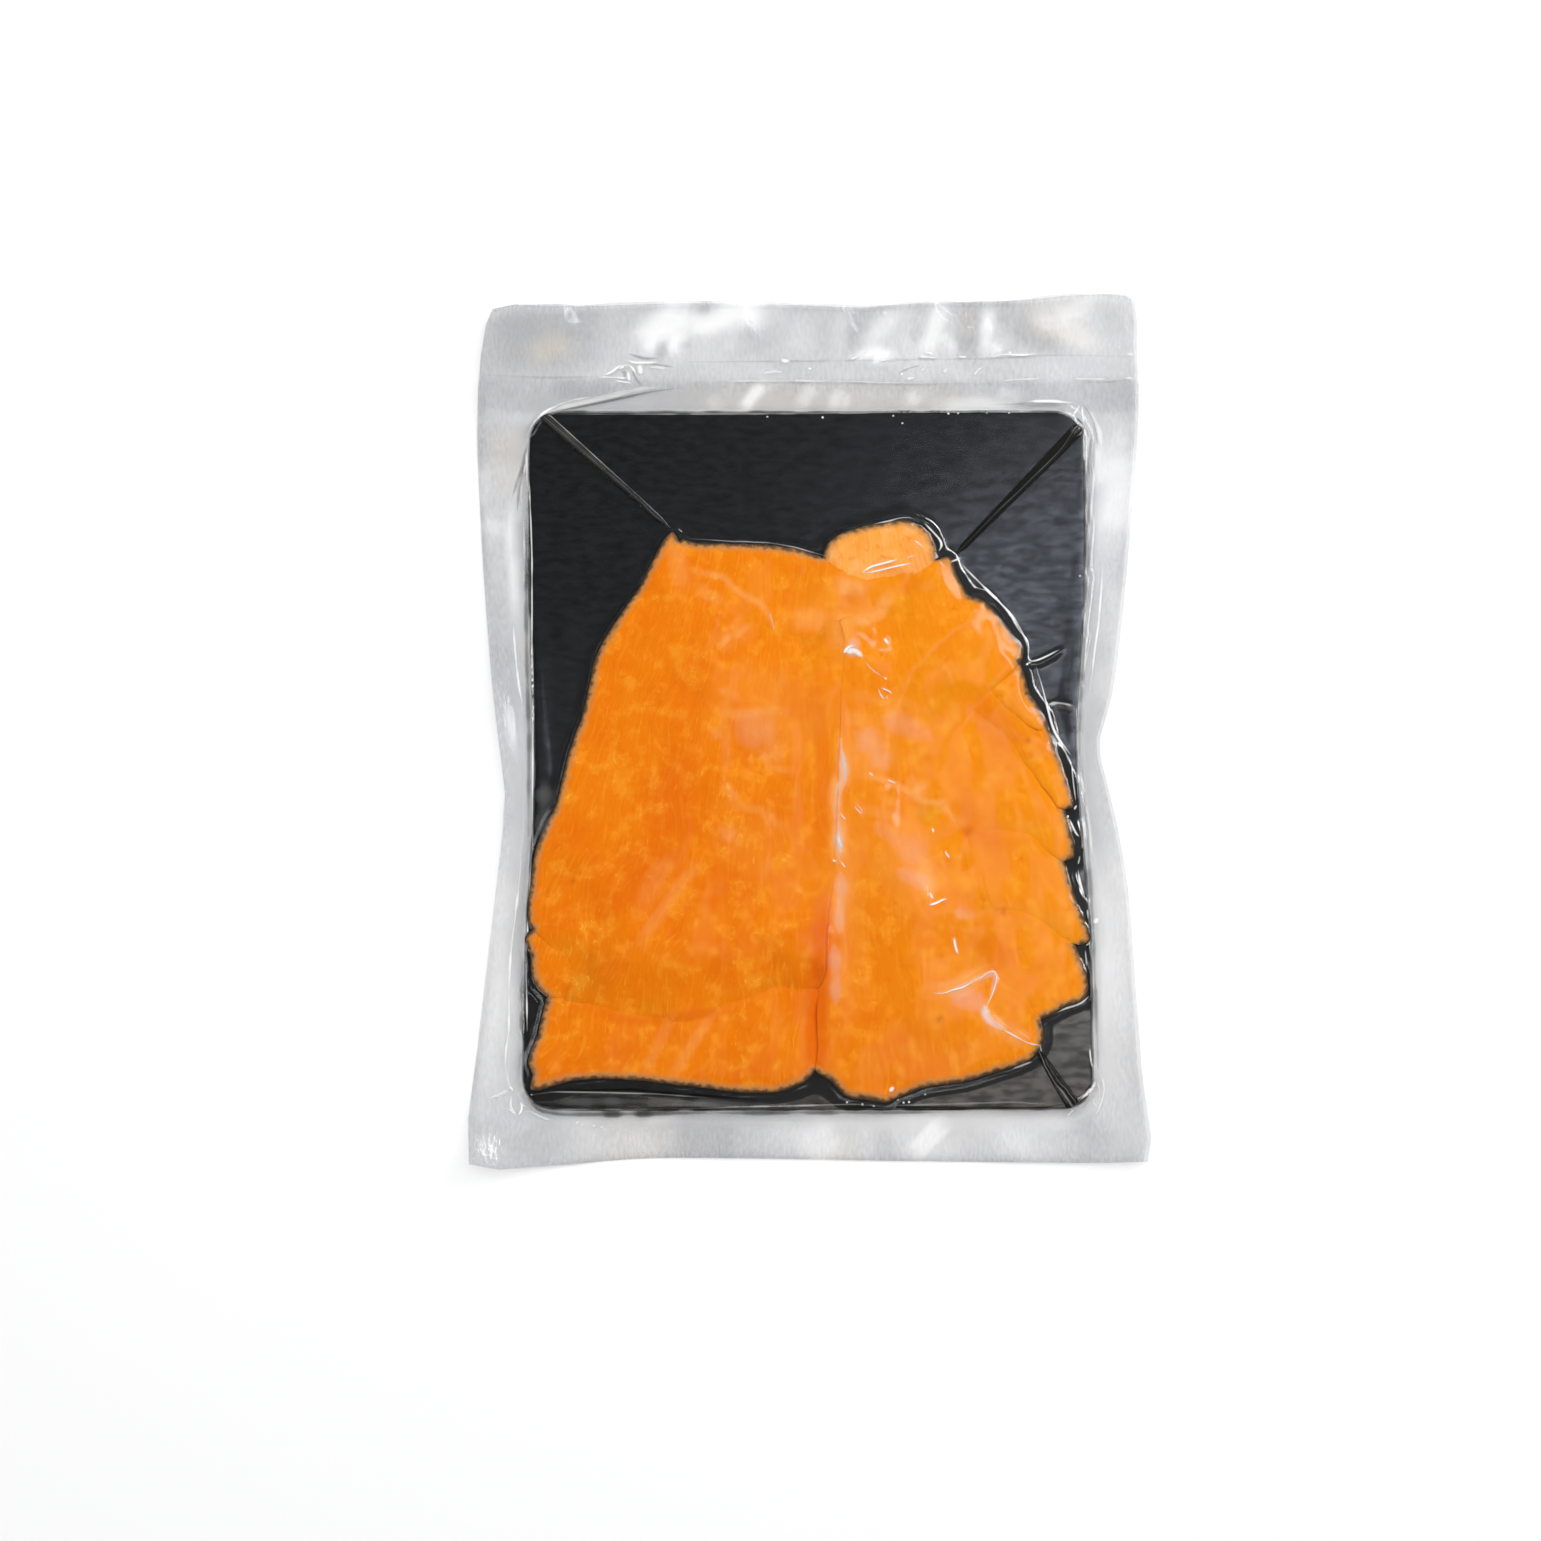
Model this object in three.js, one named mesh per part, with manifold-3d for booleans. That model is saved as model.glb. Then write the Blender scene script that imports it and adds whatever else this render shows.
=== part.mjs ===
// Pack of smoked salmon: a clear vacuum pouch lying flat, a black card inside it, and fanned slices
// of smoked salmon on the card. Millimetres, +Z up. The origin is under the middle of the pouch.
// The tight front film over the slices is a skin too thin to be a solid of its own, so the pouch
// here is the back film, the flat border round the card, the weld and the three pleats.
import * as THREE from "three";
import { mergeVertices } from "three/addons/utils/BufferGeometryUtils.js";
import Module from "manifold-3d";

const wasm = await Module();
wasm.setup();

// Driving dimensions, pouch
const BACK_FILM = 0.4;
const BORDER_THICK = 0.8;
const WELD_THICK = 0.5;
const WELD_FROM_Y = 106;
const WELD_TO_Y = 112.8;
const RIM_REACH = 3;
const FLAT_BORDER = 4.4;
const WAIST_LIFT = 4.2;
const CORNER_CURL = 1.2;

// Driving dimensions, card
const CARD_WIDTH = 168.5;
const CARD_LENGTH = 210.4;
const CARD_MIDDLE_Y = -9.6;
const CARD_THICK = 1.2;
const CARD_CORNER = 9;
const CARD_WAIST = 3.2;
const CARD_CURL = 1.6;

// Driving dimensions, slices and fits
const GAP = 0.3;
const POCKET_FIT = 0.35;
const PLEAT_HEIGHT = 1.3;
const EDGE_ROUND = 5;
const EDGE_SHARE = 0.6;
const MIDDLE_DOME = 1.5;
const RAGGED = 0.5;
const MAIN_LAYER = 6;

// How finely the surfaces are divided
const CELL = 6;
const SLICE_STEP = 3.6;
const POUCH_STEP = 9;
const DRAPE_ROUNDS = 7;
const CARD_TOP = BACK_FILM + GAP + CARD_THICK;

// Outline of the pouch, clockwise from its top left corner: only where the edge turns
const POUCH_TOP = [
  [-95.6, 127], [-70, 128.2], [-42, 129.8], [4, 129.1], [17, 128.6], [30, 129.8], [68, 130.7], [97.4, 131.3],
];
const POUCH_RIGHT = [
  [99.8, 129.6], [100.7, 115], [100.9, 94], [99.3, 74], [95.5, 36], [91.1, 7.6], [87.6, -4.5], [87.6, -10.5],
  [90.1, -21.5], [95.3, -49], [97.3, -79], [98.6, -102], [99.6, -130.2],
];
const POUCH_BOTTOM = [
  [88, -130.6], [30, -130.1], [-45, -129.2], [-60, -130.1], [-80, -131.8], [-99.1, -130.9],
];
const POUCH_LEFT = [
  [-100, -118], [-97.7, -96], [-93.4, -57], [-90.7, -32], [-90.2, -21.5], [-91.4, -11], [-94, 8], [-98.4, 55],
  [-100.1, 90], [-99.1, 112], [-97.6, 122],
];

// Seam down the middle, shared by the two main slices, from the swag to the notch in the bottom edge
const SEAM = [[9.4, 30.5], [10.4, 6.5], [9.7, -11.6], [8.4, -38.5], [4.8, -62.3], [3, -82.9], [2.1, -103]];

// One entry per slice: outline, thickness at its middle, the layer it lies in, and its colour.
// A slice rests on every slice of a lower layer, apart from those it lies beside.
const SLICES = [
  {
    name: "slice_lower_left",
    layer: 1,
    thick: 3,
    colour: 0xf79a40,
    outline: [
      [4, -69], ...SEAM.slice(5), [-5, -108.4], [-14.7, -109.9], [-38.3, -107.5], [-55, -105.8],
      [-70, -106.3], [-81.8, -109.4], [-80.9, -105], [-82.3, -101], [-79.7, -92.8], [-77.6, -84],
      [-72, -74], [-50, -68], [-20, -68],
    ],
  },
  {
    name: "slice_left_edge",
    layer: 2,
    thick: 2.6,
    colour: 0xf79338,
    outline: [
      [-78, -61], [-84, -64.7], [-82, -69], [-81.7, -75.4], [-79.8, -80.1], [-76.5, -82.4], [-67, -80],
      [-64, -68],
    ],
  },
  {
    name: "slice_top_flap",
    layer: 1,
    thick: 3.4,
    colour: 0xfaaa55,
    outline: [
      [5, 49], [6, 54], [10.3, 57.3], [20.9, 60.1], [29.9, 61.6], [33.9, 60.4], [36.9, 57.3], [39, 53],
      [37.5, 47], [30, 42], [14, 41],
    ],
  },
  {
    name: "slice_top_band",
    layer: 2,
    thick: 2.6,
    colour: 0xf79036,
    outline: [
      [-38.3, 56.2], [-34.7, 54.5], [-18, 53.9], [-0.9, 52.1], [5.7, 49.2], [10, 46], [17, 44.6], [26, 46.2],
      [34, 48], [34, 41], [24, 28], [4, 22], [-16, 25], [-30, 36], [-38, 47],
    ],
  },
  {
    name: "slice_fan_5",
    layer: 1,
    thick: 2.8,
    colour: 0xf58c2c,
    outline: [
      [75, -61], [81.3, -71.9], [82.8, -79.6], [82, -82.6], [75.8, -84.9], [69, -88.3], [58, -84], [46, -74],
      [46, -60], [58, -54],
    ],
  },
  {
    name: "slice_fan_4",
    layer: 2,
    thick: 2.6,
    colour: 0xf79338,
    outline: [
      [74, -38], [79, -50.8], [81.5, -58.8], [83.5, -65.4], [78, -66.2], [70, -61.5], [61, -57.5], [48, -54],
      [40, -42], [44, -30], [58, -29],
    ],
  },
  {
    name: "slice_fan_3",
    layer: 3,
    thick: 2.3,
    colour: 0xf68f30,
    outline: [
      [75.5, -23], [78, -32.8], [79.3, -40.6], [76, -41.8], [70, -38], [63.1, -34.3], [55, -33], [46, -33],
      [36, -24], [36, -8], [44, 6], [54, 5], [60, -1],
    ],
  },
  {
    name: "slice_fan_2",
    layer: 4,
    thick: 2.1,
    colour: 0xf2861e,
    outline: [
      [71, 1], [74.7, -10], [77.3, -16.9], [79, -26.2], [75.6, -26], [68, -17], [59.8, -7.1], [49, 3.4],
      [42, 12], [56, 15], [66, 9],
    ],
  },
  {
    name: "slice_fan_1",
    layer: 5,
    thick: 2.1,
    colour: 0xf7963a,
    outline: [
      [60, 23], [64, 17], [66.8, 8.1], [70.9, -3], [66, -1], [60, 4], [53, 8.6], [43, 9], [40, 20],
      [50, 28],
    ],
  },
  {
    name: "slice_left",
    layer: MAIN_LAYER,
    thick: 3.5,
    colour: 0xf58b28,
    outline: [
      [-40.6, 58.6], [-38, 53], [-32, 46.5], [-22.7, 42], [-15.7, 37], [-10.9, 31.5], [-2, 31],
      ...SEAM.slice(0, 5), [3.4, -78.5], [-8, -82], [-22.6, -86], [-29.5, -89.4], [-49.3, -90.6],
      [-58.6, -87], [-75.1, -83.5], [-72.4, -76], [-77, -67], [-82.6, -60], [-82.2, -48.1],
      [-80.6, -38.2], [-75, -24.4], [-71, -10], [-66.9, 3.9], [-62.8, 21.2], [-56.9, 31], [-50.6, 40.4],
      [-45.8, 50.2],
    ],
  },
  {
    name: "slice_right",
    layer: MAIN_LAYER,
    thick: 3.5,
    beside: ["slice_lower_left", "slice_left"],
    colour: 0xf7913a,
    outline: [
      ...SEAM, [7.1, -106.3], [11.3, -110.5], [17.4, -111.9], [23.3, -113], [28, -110.8], [32.8, -108.4],
      [45.2, -106.9], [55.2, -103.7], [65.6, -100.5], [69, -96.8], [68.3, -87.5], [62, -79], [56.9, -69.6],
      [58.9, -56], [56.6, -50], [47.9, -32.5], [41, -22], [44, -8], [50, 3], [57, 11], [62.9, 17], [65, 23],
      [62.8, 25.8], [56.6, 33.4], [52.4, 37.4], [48.5, 38.3], [46.4, 42], [44, 47.5], [43.2, 51.4], [36, 47],
      [28.3, 42], [21.2, 34.7],
    ],
  },
];

// Pleats of the front film, from near a corner of the card to the nearest tip of the fish, and half
// the width of each
const PLEATS = [
  { corner: [-80, 94.5], tip: [-41.6, 59.9], half: 1.9 },
  { corner: [83, 91.7], tip: [44.6, 52.4], half: 2 },
  { corner: [79, -114.5], tip: [69.9, -98.9], half: 1.5 },
];

const bell = (v, middle, spread) => Math.exp(-(((v - middle) / spread) ** 2));
const clamp = (v, low, high) => Math.min(high, Math.max(low, v));
const blend = (v, from, to) => {
  const t = clamp((v - from) / (to - from), 0, 1);
  return t * t * (3 - 2 * t);
};

// A closed curve through all the points, as a polygon with a corner about every step
function smoothOutline(points, step) {
  const at = points.map(([x, y]) => new THREE.Vector3(x, y, 0));
  const curve = new THREE.CatmullRomCurve3(at, true, "centripetal");
  const polygon = [];
  at.forEach((point, i) => {
    const count = Math.max(1, Math.round(point.distanceTo(at[(i + 1) % at.length]) / step));
    for (let k = 0; k < count; k++) polygon.push(curve.getPoint((i + k / count) / at.length));
  });
  return polygon;
}

// Each corner of the polygon moved inwards, by the mean of the directions of its two sides
function inset(polygon, distance) {
  const around = (i) => polygon[(i + polygon.length) % polygon.length];
  const turns = THREE.ShapeUtils.isClockWise(polygon) ? 1 : -1;
  return polygon.map((point, i) => {
    const side = around(i + 1).clone().sub(around(i - 1)).normalize().multiplyScalar(distance * turns);
    return new THREE.Vector2(point.x + side.y, point.y - side.x);
  });
}

// Distance to a closed polygon's edge, positive inside it
function insideDistance(polygon, x, y) {
  let nearest = Infinity;
  let inside = false;
  for (let i = 0, j = polygon.length - 1; i < polygon.length; j = i++) {
    const a = polygon[j];
    const b = polygon[i];
    const ex = b.x - a.x;
    const ey = b.y - a.y;
    const along = clamp(((x - a.x) * ex + (y - a.y) * ey) / (ex * ex + ey * ey || 1), 0, 1);
    nearest = Math.min(nearest, Math.hypot(x - a.x - along * ex, y - a.y - along * ey));
    if (a.y > y !== b.y > y && x < a.x + ((y - a.y) * ex) / ey) inside = !inside;
  }
  return inside ? nearest : -nearest;
}

// Soft lumps about 15 mm across, between -1 and 1
const lumps = (x, y) =>
  0.5 * Math.sin(x / 4.7 + 1.3 * Math.sin(y / 9.1)) * Math.cos(y / 6.3 + x / 17) +
  0.5 * Math.sin(x / 7.9 - y / 11.3 + 2) * Math.sin(y / 5.1 + 0.7 * Math.cos(x / 8.3));

// Grid lines over spans that join end to end, each at its own step or a little less
function gridLines(...spans) {
  const lines = [spans[0][0]];
  for (const [from, to, step] of spans) {
    const count = Math.ceil((to - from) / step - 1e-9);
    for (let i = 1; i <= count; i++) lines.push(from + ((to - from) * i) / count);
  }
  return lines;
}

// A grid of nodes with a value each
function nodeValues(grid, value) {
  return grid.ys.map((y, j) => grid.xs.map((x, i) => value(x, y, i, j)));
}

// Closed block between two surfaces given at the nodes, over each cell that has a node in reach
function blockSolid(grid, reach, bottom, top) {
  const positions = [];
  const triangle = (...corners) => corners.forEach((c) => positions.push(...c));
  const used = (i, j) =>
    [[0, 0], [1, 0], [1, 1], [0, 1]].some(([di, dj]) => reach[j + dj]?.[i + di]) &&
    i >= 0 && j >= 0 && i + 1 < grid.xs.length && j + 1 < grid.ys.length;
  const low = ([i, j]) => [grid.xs[i], grid.ys[j], bottom[j][i]];
  const high = ([i, j]) => [grid.xs[i], grid.ys[j], top[j][i]];
  for (let j = 0; j + 1 < grid.ys.length; j++) {
    for (let i = 0; i + 1 < grid.xs.length; i++) {
      if (!used(i, j)) continue;
      const [a, b, c, d] = [[i, j], [i + 1, j], [i + 1, j + 1], [i, j + 1]];
      const halves = (i + j) % 2 ? [[a, b, d], [b, c, d]] : [[a, b, c], [a, c, d]];
      for (const [p, q, r] of halves) {
        triangle(high(p), high(q), high(r));
        triangle(low(p), low(r), low(q));
      }
      for (const [p, q, ni, nj] of [[a, b, i, j - 1], [b, c, i + 1, j], [c, d, i, j + 1], [d, a, i - 1, j]]) {
        if (used(ni, nj)) continue;
        triangle(low(p), low(q), high(q));
        triangle(low(p), high(q), high(p));
      }
    }
  }
  const geometry = new THREE.BufferGeometry();
  geometry.setAttribute("position", new THREE.Float32BufferAttribute(positions, 3));
  return solidOf(mergeVertices(geometry, 1e-4));
}

// Upright prism on a polygon, taller than the whole pack
function prismSolid(polygon) {
  const geometry = new THREE.ExtrudeGeometry(new THREE.Shape(polygon), { depth: 60, bevelEnabled: false });
  geometry.translate(0, 0, -20);
  geometry.deleteAttribute("normal");
  geometry.deleteAttribute("uv");
  return solidOf(mergeVertices(geometry, 1e-4));
}

// Long low ridge over a straight line: five corners in each cross-section, closed at both ends
function ridgeGeometry(sections) {
  const corners = sections.flat();
  const around = sections[0].length;
  const faces = [];
  for (let s = 0; s + 1 < sections.length; s++) {
    for (let k = 0; k < around; k++) {
      const a = s * around + k;
      const b = s * around + ((k + 1) % around);
      faces.push(a, b, b + around, a, b + around, a + around);
    }
  }
  const last = (sections.length - 1) * around;
  for (let k = 1; k + 1 < around; k++) {
    faces.push(0, k + 1, k);
    faces.push(last, last + k, last + k + 1);
  }
  const geometry = new THREE.BufferGeometry();
  geometry.setAttribute("position", new THREE.Float32BufferAttribute(corners.flat(), 3));
  geometry.setIndex(faces);
  return geometry;
}

function solidOf(geometry) {
  return new wasm.Manifold(
    new wasm.Mesh({
      numProp: 3,
      vertProperties: new Float32Array(geometry.attributes.position.array),
      triVerts: new Uint32Array(geometry.index.array),
    }),
  );
}

function geometryOf(solid) {
  const mesh = solid.getMesh();
  const geometry = new THREE.BufferGeometry();
  geometry.setAttribute("position", new THREE.Float32BufferAttribute(mesh.vertProperties, 3));
  geometry.setIndex(new THREE.BufferAttribute(mesh.triVerts, 1));
  geometry.computeVertexNormals();
  return geometry;
}

// Card and pouch

// How far the card's sides curl up at mid-length, and the film with them
const curl = (x, y) => CARD_CURL * clamp((Math.abs(x) - 50) / 34, 0, 1.4) ** 2 * bell(y, -14, 48);

// How far each long side of the card bows in, from the left side and the right
const bow = (side, y) => CARD_WAIST * (side < 0 ? 0.85 * bell(y, -15, 44) : 1.2 * bell(y, -9, 36));

// Distance inwards from the edge of the card, a rounded rectangle with bowed sides
function cardInside(x, y) {
  const dx = Math.abs(x) + bow(x, y) - (CARD_WIDTH / 2 - CARD_CORNER);
  const dy = Math.abs(y - CARD_MIDDLE_Y) - (CARD_LENGTH / 2 - CARD_CORNER);
  return CARD_CORNER - Math.hypot(Math.max(dx, 0), Math.max(dy, 0)) - Math.min(Math.max(dx, dy), 0);
}

// The card's outline as a polygon: it steps round the corner arcs and down the bowed sides
function cardOutline(grown) {
  const polygon = [];
  const halfLength = CARD_LENGTH / 2 - CARD_CORNER;
  const halfWidth = CARD_WIDTH / 2 - CARD_CORNER;
  const radius = CARD_CORNER + grown;
  for (const [sx, sy] of [[1, 1], [-1, 1], [-1, -1], [1, -1]]) {
    const first = sx * sy > 0 ? 0 : Math.PI / 2;
    for (let k = 0; k <= 5; k++) {
      const turn = Math.abs(first - (Math.PI / 10) * k);
      const y = CARD_MIDDLE_Y + sy * (halfLength + radius * Math.sin(turn));
      const x = sx * (halfWidth + radius * Math.cos(turn) - bow(sx, y));
      polygon.push(new THREE.Vector2(x, y));
    }
    if (sx * sy > 0) continue;
    for (let k = 1; k < 15; k++) {
      const y = CARD_MIDDLE_Y + sy * halfLength * (1 - (2 * k) / 15);
      polygon.push(new THREE.Vector2(sx * (CARD_WIDTH / 2 + grown - bow(sx, y)), y));
    }
  }
  return polygon;
}

// How far the pouch's border stands up off the table: most at the waist, in waves along the top
function borderLift(x, y) {
  const out = Math.max(-cardInside(x, y) - FLAT_BORDER, 0);
  const side = Math.abs(x) > 70 ? 1 : 0;
  const waist = WAIST_LIFT * bell(y, x < 0 ? -22 : -8, x < 0 ? 34 : 26) * side * (out / 5) ** 1.2;
  const sides = 0.9 * (1 + Math.sin(y / 13 + (x < 0 ? 0 : 2))) * side * (out / 12) ** 1.5;
  const top = y > 90 ? (1.4 + 1.2 * Math.sin(x / 12.5 + 1) + 0.5 * Math.sin(x / 5.3)) * (out / 30) : 0;
  const bottom = y < -112 ? (0.9 + 0.8 * Math.sin(x / 14 + 2)) * (out / 12) ** 2 : 0;
  const corner = CORNER_CURL * blend(Math.abs(x), 82, 101) * blend(-y, 112, 132);
  return waist + sides + top + bottom + corner;
}

const inWeld = (y) => y > WELD_FROM_Y && y < WELD_TO_Y;

const packGrid = {
  xs: gridLines([-104, -77, 5.4], [-77, -50, 13.5], [-50, 50, 100], [50, 77, 13.5], [77, 104, 5.4]),
  ys: gridLines(
    [-136, -108, 5.6],
    [-108, 90, 13.2],
    [90, WELD_FROM_Y - 0.6, 5.2],
    [WELD_FROM_Y - 0.6, WELD_FROM_Y + 0.6, 1.2],
    [WELD_FROM_Y + 0.6, WELD_TO_Y - 0.6, 6],
    [WELD_TO_Y - 0.6, WELD_TO_Y + 0.6, 1.2],
    [WELD_TO_Y + 0.6, 134, 7],
  ),
};

const everywhere = nodeValues(packGrid, () => true);
const cardSolid = (grown, low, high) =>
  blockSolid(
    packGrid,
    everywhere,
    nodeValues(packGrid, (x, y) => low + curl(x, y)),
    nodeValues(packGrid, (x, y) => high + curl(x, y)),
  ).intersect(prismSolid(cardOutline(grown)));

// The pouch: a slab with its wavy border, a pocket that the card lies in, and the pleats
function pouchSolid() {
  const outline = smoothOutline([...POUCH_TOP, ...POUCH_RIGHT, ...POUCH_BOTTOM, ...POUCH_LEFT], POUCH_STEP);
  const low = nodeValues(packGrid, (x, y) => curl(x, y) + borderLift(x, y));
  const high = nodeValues(packGrid, (x, y, i, j) => {
    const out = Math.max(-cardInside(x, y), 0);
    const rim = (CARD_TOP - BORDER_THICK) * (1 - blend(out, 0.4, RIM_REACH));
    return low[j][i] + rim + (inWeld(y) ? WELD_THICK : BORDER_THICK);
  });
  const slab = blockSolid(packGrid, everywhere, low, high).intersect(prismSolid(outline));
  const pocket = cardSolid(POCKET_FIT, BACK_FILM, CARD_TOP + 20);
  return PLEATS.reduce((solid, pleat) => solid.add(pleatSolid(pleat)), slab.subtract(pocket));
}

// A pleat: it starts sunk in the border, climbs the card's edge and runs over the card to the fish
function pleatSolid({ corner, tip, half }) {
  const whole = Math.hypot(corner[0] - tip[0], corner[1] - tip[1]);
  const out = [(corner[0] - tip[0]) / whole, (corner[1] - tip[1]) / whole];
  let length = whole * 0.8;
  while (cardInside(tip[0] + out[0] * length, tip[1] + out[1] * length) > 0) length += 0.1;
  const over = CARD_TOP + GAP;
  const section = (at, low, high, wide) => {
    const x = tip[0] + out[0] * at;
    const y = tip[1] + out[1] * at;
    const lift = curl(x, y);
    const place = (side, z) => [x - out[1] * side, y + out[0] * side, z + lift];
    return [
      place(-wide, low), place(-wide * 0.75, low + 0.5), place(0, high), place(wide * 0.75, low + 0.5),
      place(wide, low),
    ];
  };
  const sections = [
    section(length + 3.4, 0.3, 1, half * 0.6),
    section(length + 2, 0.4, over + 0.4, half),
    section(length + 0.9, over, over + 0.8, half),
  ];
  for (const share of [0.75, 0.5, 0.25]) {
    sections.push(section(length * share, over, over + PLEAT_HEIGHT, half * (0.65 + 0.35 * share)));
  }
  sections.push(section(0, over, over + PLEAT_HEIGHT * 1.5, half * 0.6));
  return solidOf(ridgeGeometry(sections));
}

// Slices

const fishGrid = {
  xs: gridLines([-93, 93, CELL]),
  ys: gridLines([-123, 71, CELL]),
};

// The two main slices meet with no groove here, so this stretch of their outlines has no edge
const onClosedSeam = (point) => Math.abs(point.x - 8) < 5 && point.y > -58 && point.y < 29;

// Height of a slice's top over its underside, at a distance from its nearest open edge
function sliceTop(slice, distance, x, y) {
  const rise = Math.sqrt(1 - (1 - clamp(distance / EDGE_ROUND, 0, 1)) ** 2);
  const dome = slice.layer === MAIN_LAYER ? MIDDLE_DOME * blend(distance, 4, 30) : 0;
  const ridge = 0.8 * bell(x, 11.5, 4) * blend(y, -52, -36) * blend(-y, -16, 0);
  const relief = (0.35 * lumps(x, y) + (slice.name === "slice_right" ? ridge : 0)) * blend(distance, 1, 7);
  return slice.thick * (EDGE_SHARE + (1 - EDGE_SHARE) * rise) + dome + relief;
}

// What a slice rests on at each node: the card, and every slice under it with a margin round its edge
function restingHeight(slice, below) {
  return nodeValues(fishGrid, (x, y, i, j) => {
    let height = CARD_TOP + curl(x, y);
    for (const other of below) {
      if (other.layer >= slice.layer || slice.beside?.includes(other.name)) continue;
      if (other.reach[j][i]) height = Math.max(height, other.top[j][i]);
    }
    return height + GAP;
  });
}

// A soft slice bridges the steps under it: each node rises to the mean of those around it
function drape(height, reach) {
  let draped = height;
  for (let round = 0; round < DRAPE_ROUNDS; round++) {
    const last = draped;
    draped = nodeValues(fishGrid, (x, y, i, j) => {
      if (!reach[j][i]) return height[j][i];
      const mean = (last[j][i - 1] + last[j][i + 1] + last[j - 1][i] + last[j + 1][i]) / 4;
      return Math.max(height[j][i], mean);
    });
  }
  return draped;
}

// A ragged edge: every outline is warped alike, so the shared seam stays shared
const ragged = ([x, y]) => [
  x + RAGGED * lumps(2.1 * x, 1.9 * y),
  y + RAGGED * lumps(1.7 * y + 5, 2.3 * x),
];

// Each slice's outline, with its underside and top at the nodes, from the lowest layer up
function layOut(slices) {
  const placed = slices
    .map((slice) => {
      const polygon = smoothOutline(slice.outline.map(ragged), SLICE_STEP);
      const inside = nodeValues(fishGrid, (x, y) => insideDistance(polygon, x, y));
      const reach = nodeValues(fishGrid, (x, y, i, j) => inside[j][i] > -1.45 * CELL);
      return { ...slice, polygon, inside, reach };
    })
    .sort((a, b) => a.layer - b.layer);
  for (const slice of placed) {
    const mates = placed.filter((other) => other.layer === slice.layer);
    const soft = nodeValues(fishGrid, (x, y, i, j) => mates.some((mate) => mate.inside[j][i] > 0));
    const main = slice.layer === MAIN_LAYER;
    const openEdge = (main ? mates : [slice]).flatMap((mate) => mate.polygon).filter((p) => !onClosedSeam(p));
    slice.bottom = drape(restingHeight(slice, placed), soft);
    slice.top = nodeValues(fishGrid, (x, y, i, j) => {
      const distance = soft[j][i] ? Math.min(...openEdge.map((p) => Math.hypot(x - p.x, y - p.y))) : 0;
      return slice.bottom[j][i] + sliceTop(slice, distance, x, y);
    });
  }
  return placed;
}

// A slice, cut to its outline and kept clear of those it lies beside
function sliceSolid(slice, placed) {
  const block = blockSolid(fishGrid, slice.reach, slice.bottom, slice.top);
  const partners = placed.filter((other) => slice.beside?.includes(other.name));
  return partners.reduce(
    (solid, partner) => solid.subtract(prismSolid(inset(partner.polygon, -GAP / 2))),
    block.intersect(prismSolid(inset(slice.polygon, GAP / 2))),
  );
}

// The pack

const pack = new THREE.Group();

function addPiece(name, geometry, colour, roughness, opacity = 1) {
  const material = new THREE.MeshStandardMaterial({
    color: colour,
    roughness,
    metalness: 0,
    opacity,
    transparent: opacity < 1,
  });
  const mesh = new THREE.Mesh(geometry, material);
  mesh.name = name;
  pack.add(mesh);
}

addPiece("pouch", geometryOf(pouchSolid()), 0xd3d5d9, 0.2, 0.4);
addPiece("card", geometryOf(cardSolid(0, BACK_FILM + GAP, CARD_TOP)), 0x1c1f23, 0.35);
const placedSlices = layOut(SLICES);
for (const slice of placedSlices) {
  addPiece(slice.name, geometryOf(sliceSolid(slice, placedSlices)), slice.colour, 0.4);
}

export default pack;
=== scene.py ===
"""Pack of smoked salmon: fish slices on a black card, sealed tight in a clear vacuum pouch."""

import functools
import math

import bpy
import numpy as np
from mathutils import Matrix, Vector
from mathutils.bvhtree import BVHTree
from mathutils.kdtree import KDTree


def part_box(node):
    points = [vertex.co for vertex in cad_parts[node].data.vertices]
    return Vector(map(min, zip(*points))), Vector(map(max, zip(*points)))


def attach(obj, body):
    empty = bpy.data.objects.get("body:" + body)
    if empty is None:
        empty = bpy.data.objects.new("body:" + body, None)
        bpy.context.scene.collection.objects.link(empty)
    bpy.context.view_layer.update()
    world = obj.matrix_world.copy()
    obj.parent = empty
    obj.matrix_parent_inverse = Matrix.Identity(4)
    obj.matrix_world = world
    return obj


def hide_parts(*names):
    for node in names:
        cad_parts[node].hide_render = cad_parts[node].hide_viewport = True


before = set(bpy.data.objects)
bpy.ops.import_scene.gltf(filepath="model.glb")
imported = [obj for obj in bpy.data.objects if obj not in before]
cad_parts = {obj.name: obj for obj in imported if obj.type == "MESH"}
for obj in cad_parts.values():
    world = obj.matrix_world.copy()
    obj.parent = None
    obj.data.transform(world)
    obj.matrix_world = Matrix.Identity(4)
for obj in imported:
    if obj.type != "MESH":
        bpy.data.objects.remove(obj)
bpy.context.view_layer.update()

bl_info = {
    "name": "Pack of smoked salmon",
    "version": (1, 0, 0),
    "blender": (4, 5, 0),
    "location": "3D View > Sidebar > Salmon pack",
    "description": "Dresses the solids of a vacuum pack of sliced smoked salmon",
    "category": "Object",
}

MM = 0.001
FILM_INDEX = 1.5

# A height above everything, for looking down, and below everything, for looking up
SKY = 0.2

# The most triangles of a piece whose mesh is kept whole, with some to spare
MOST_FACES = 180_000

MAIN_SLICES = ("slice_left", "slice_right")
PALE_SLICES = ("slice_top_flap",)
FAN_SLICES = tuple(f"slice_fan_{k}" for k in range(5, 0, -1))

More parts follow.
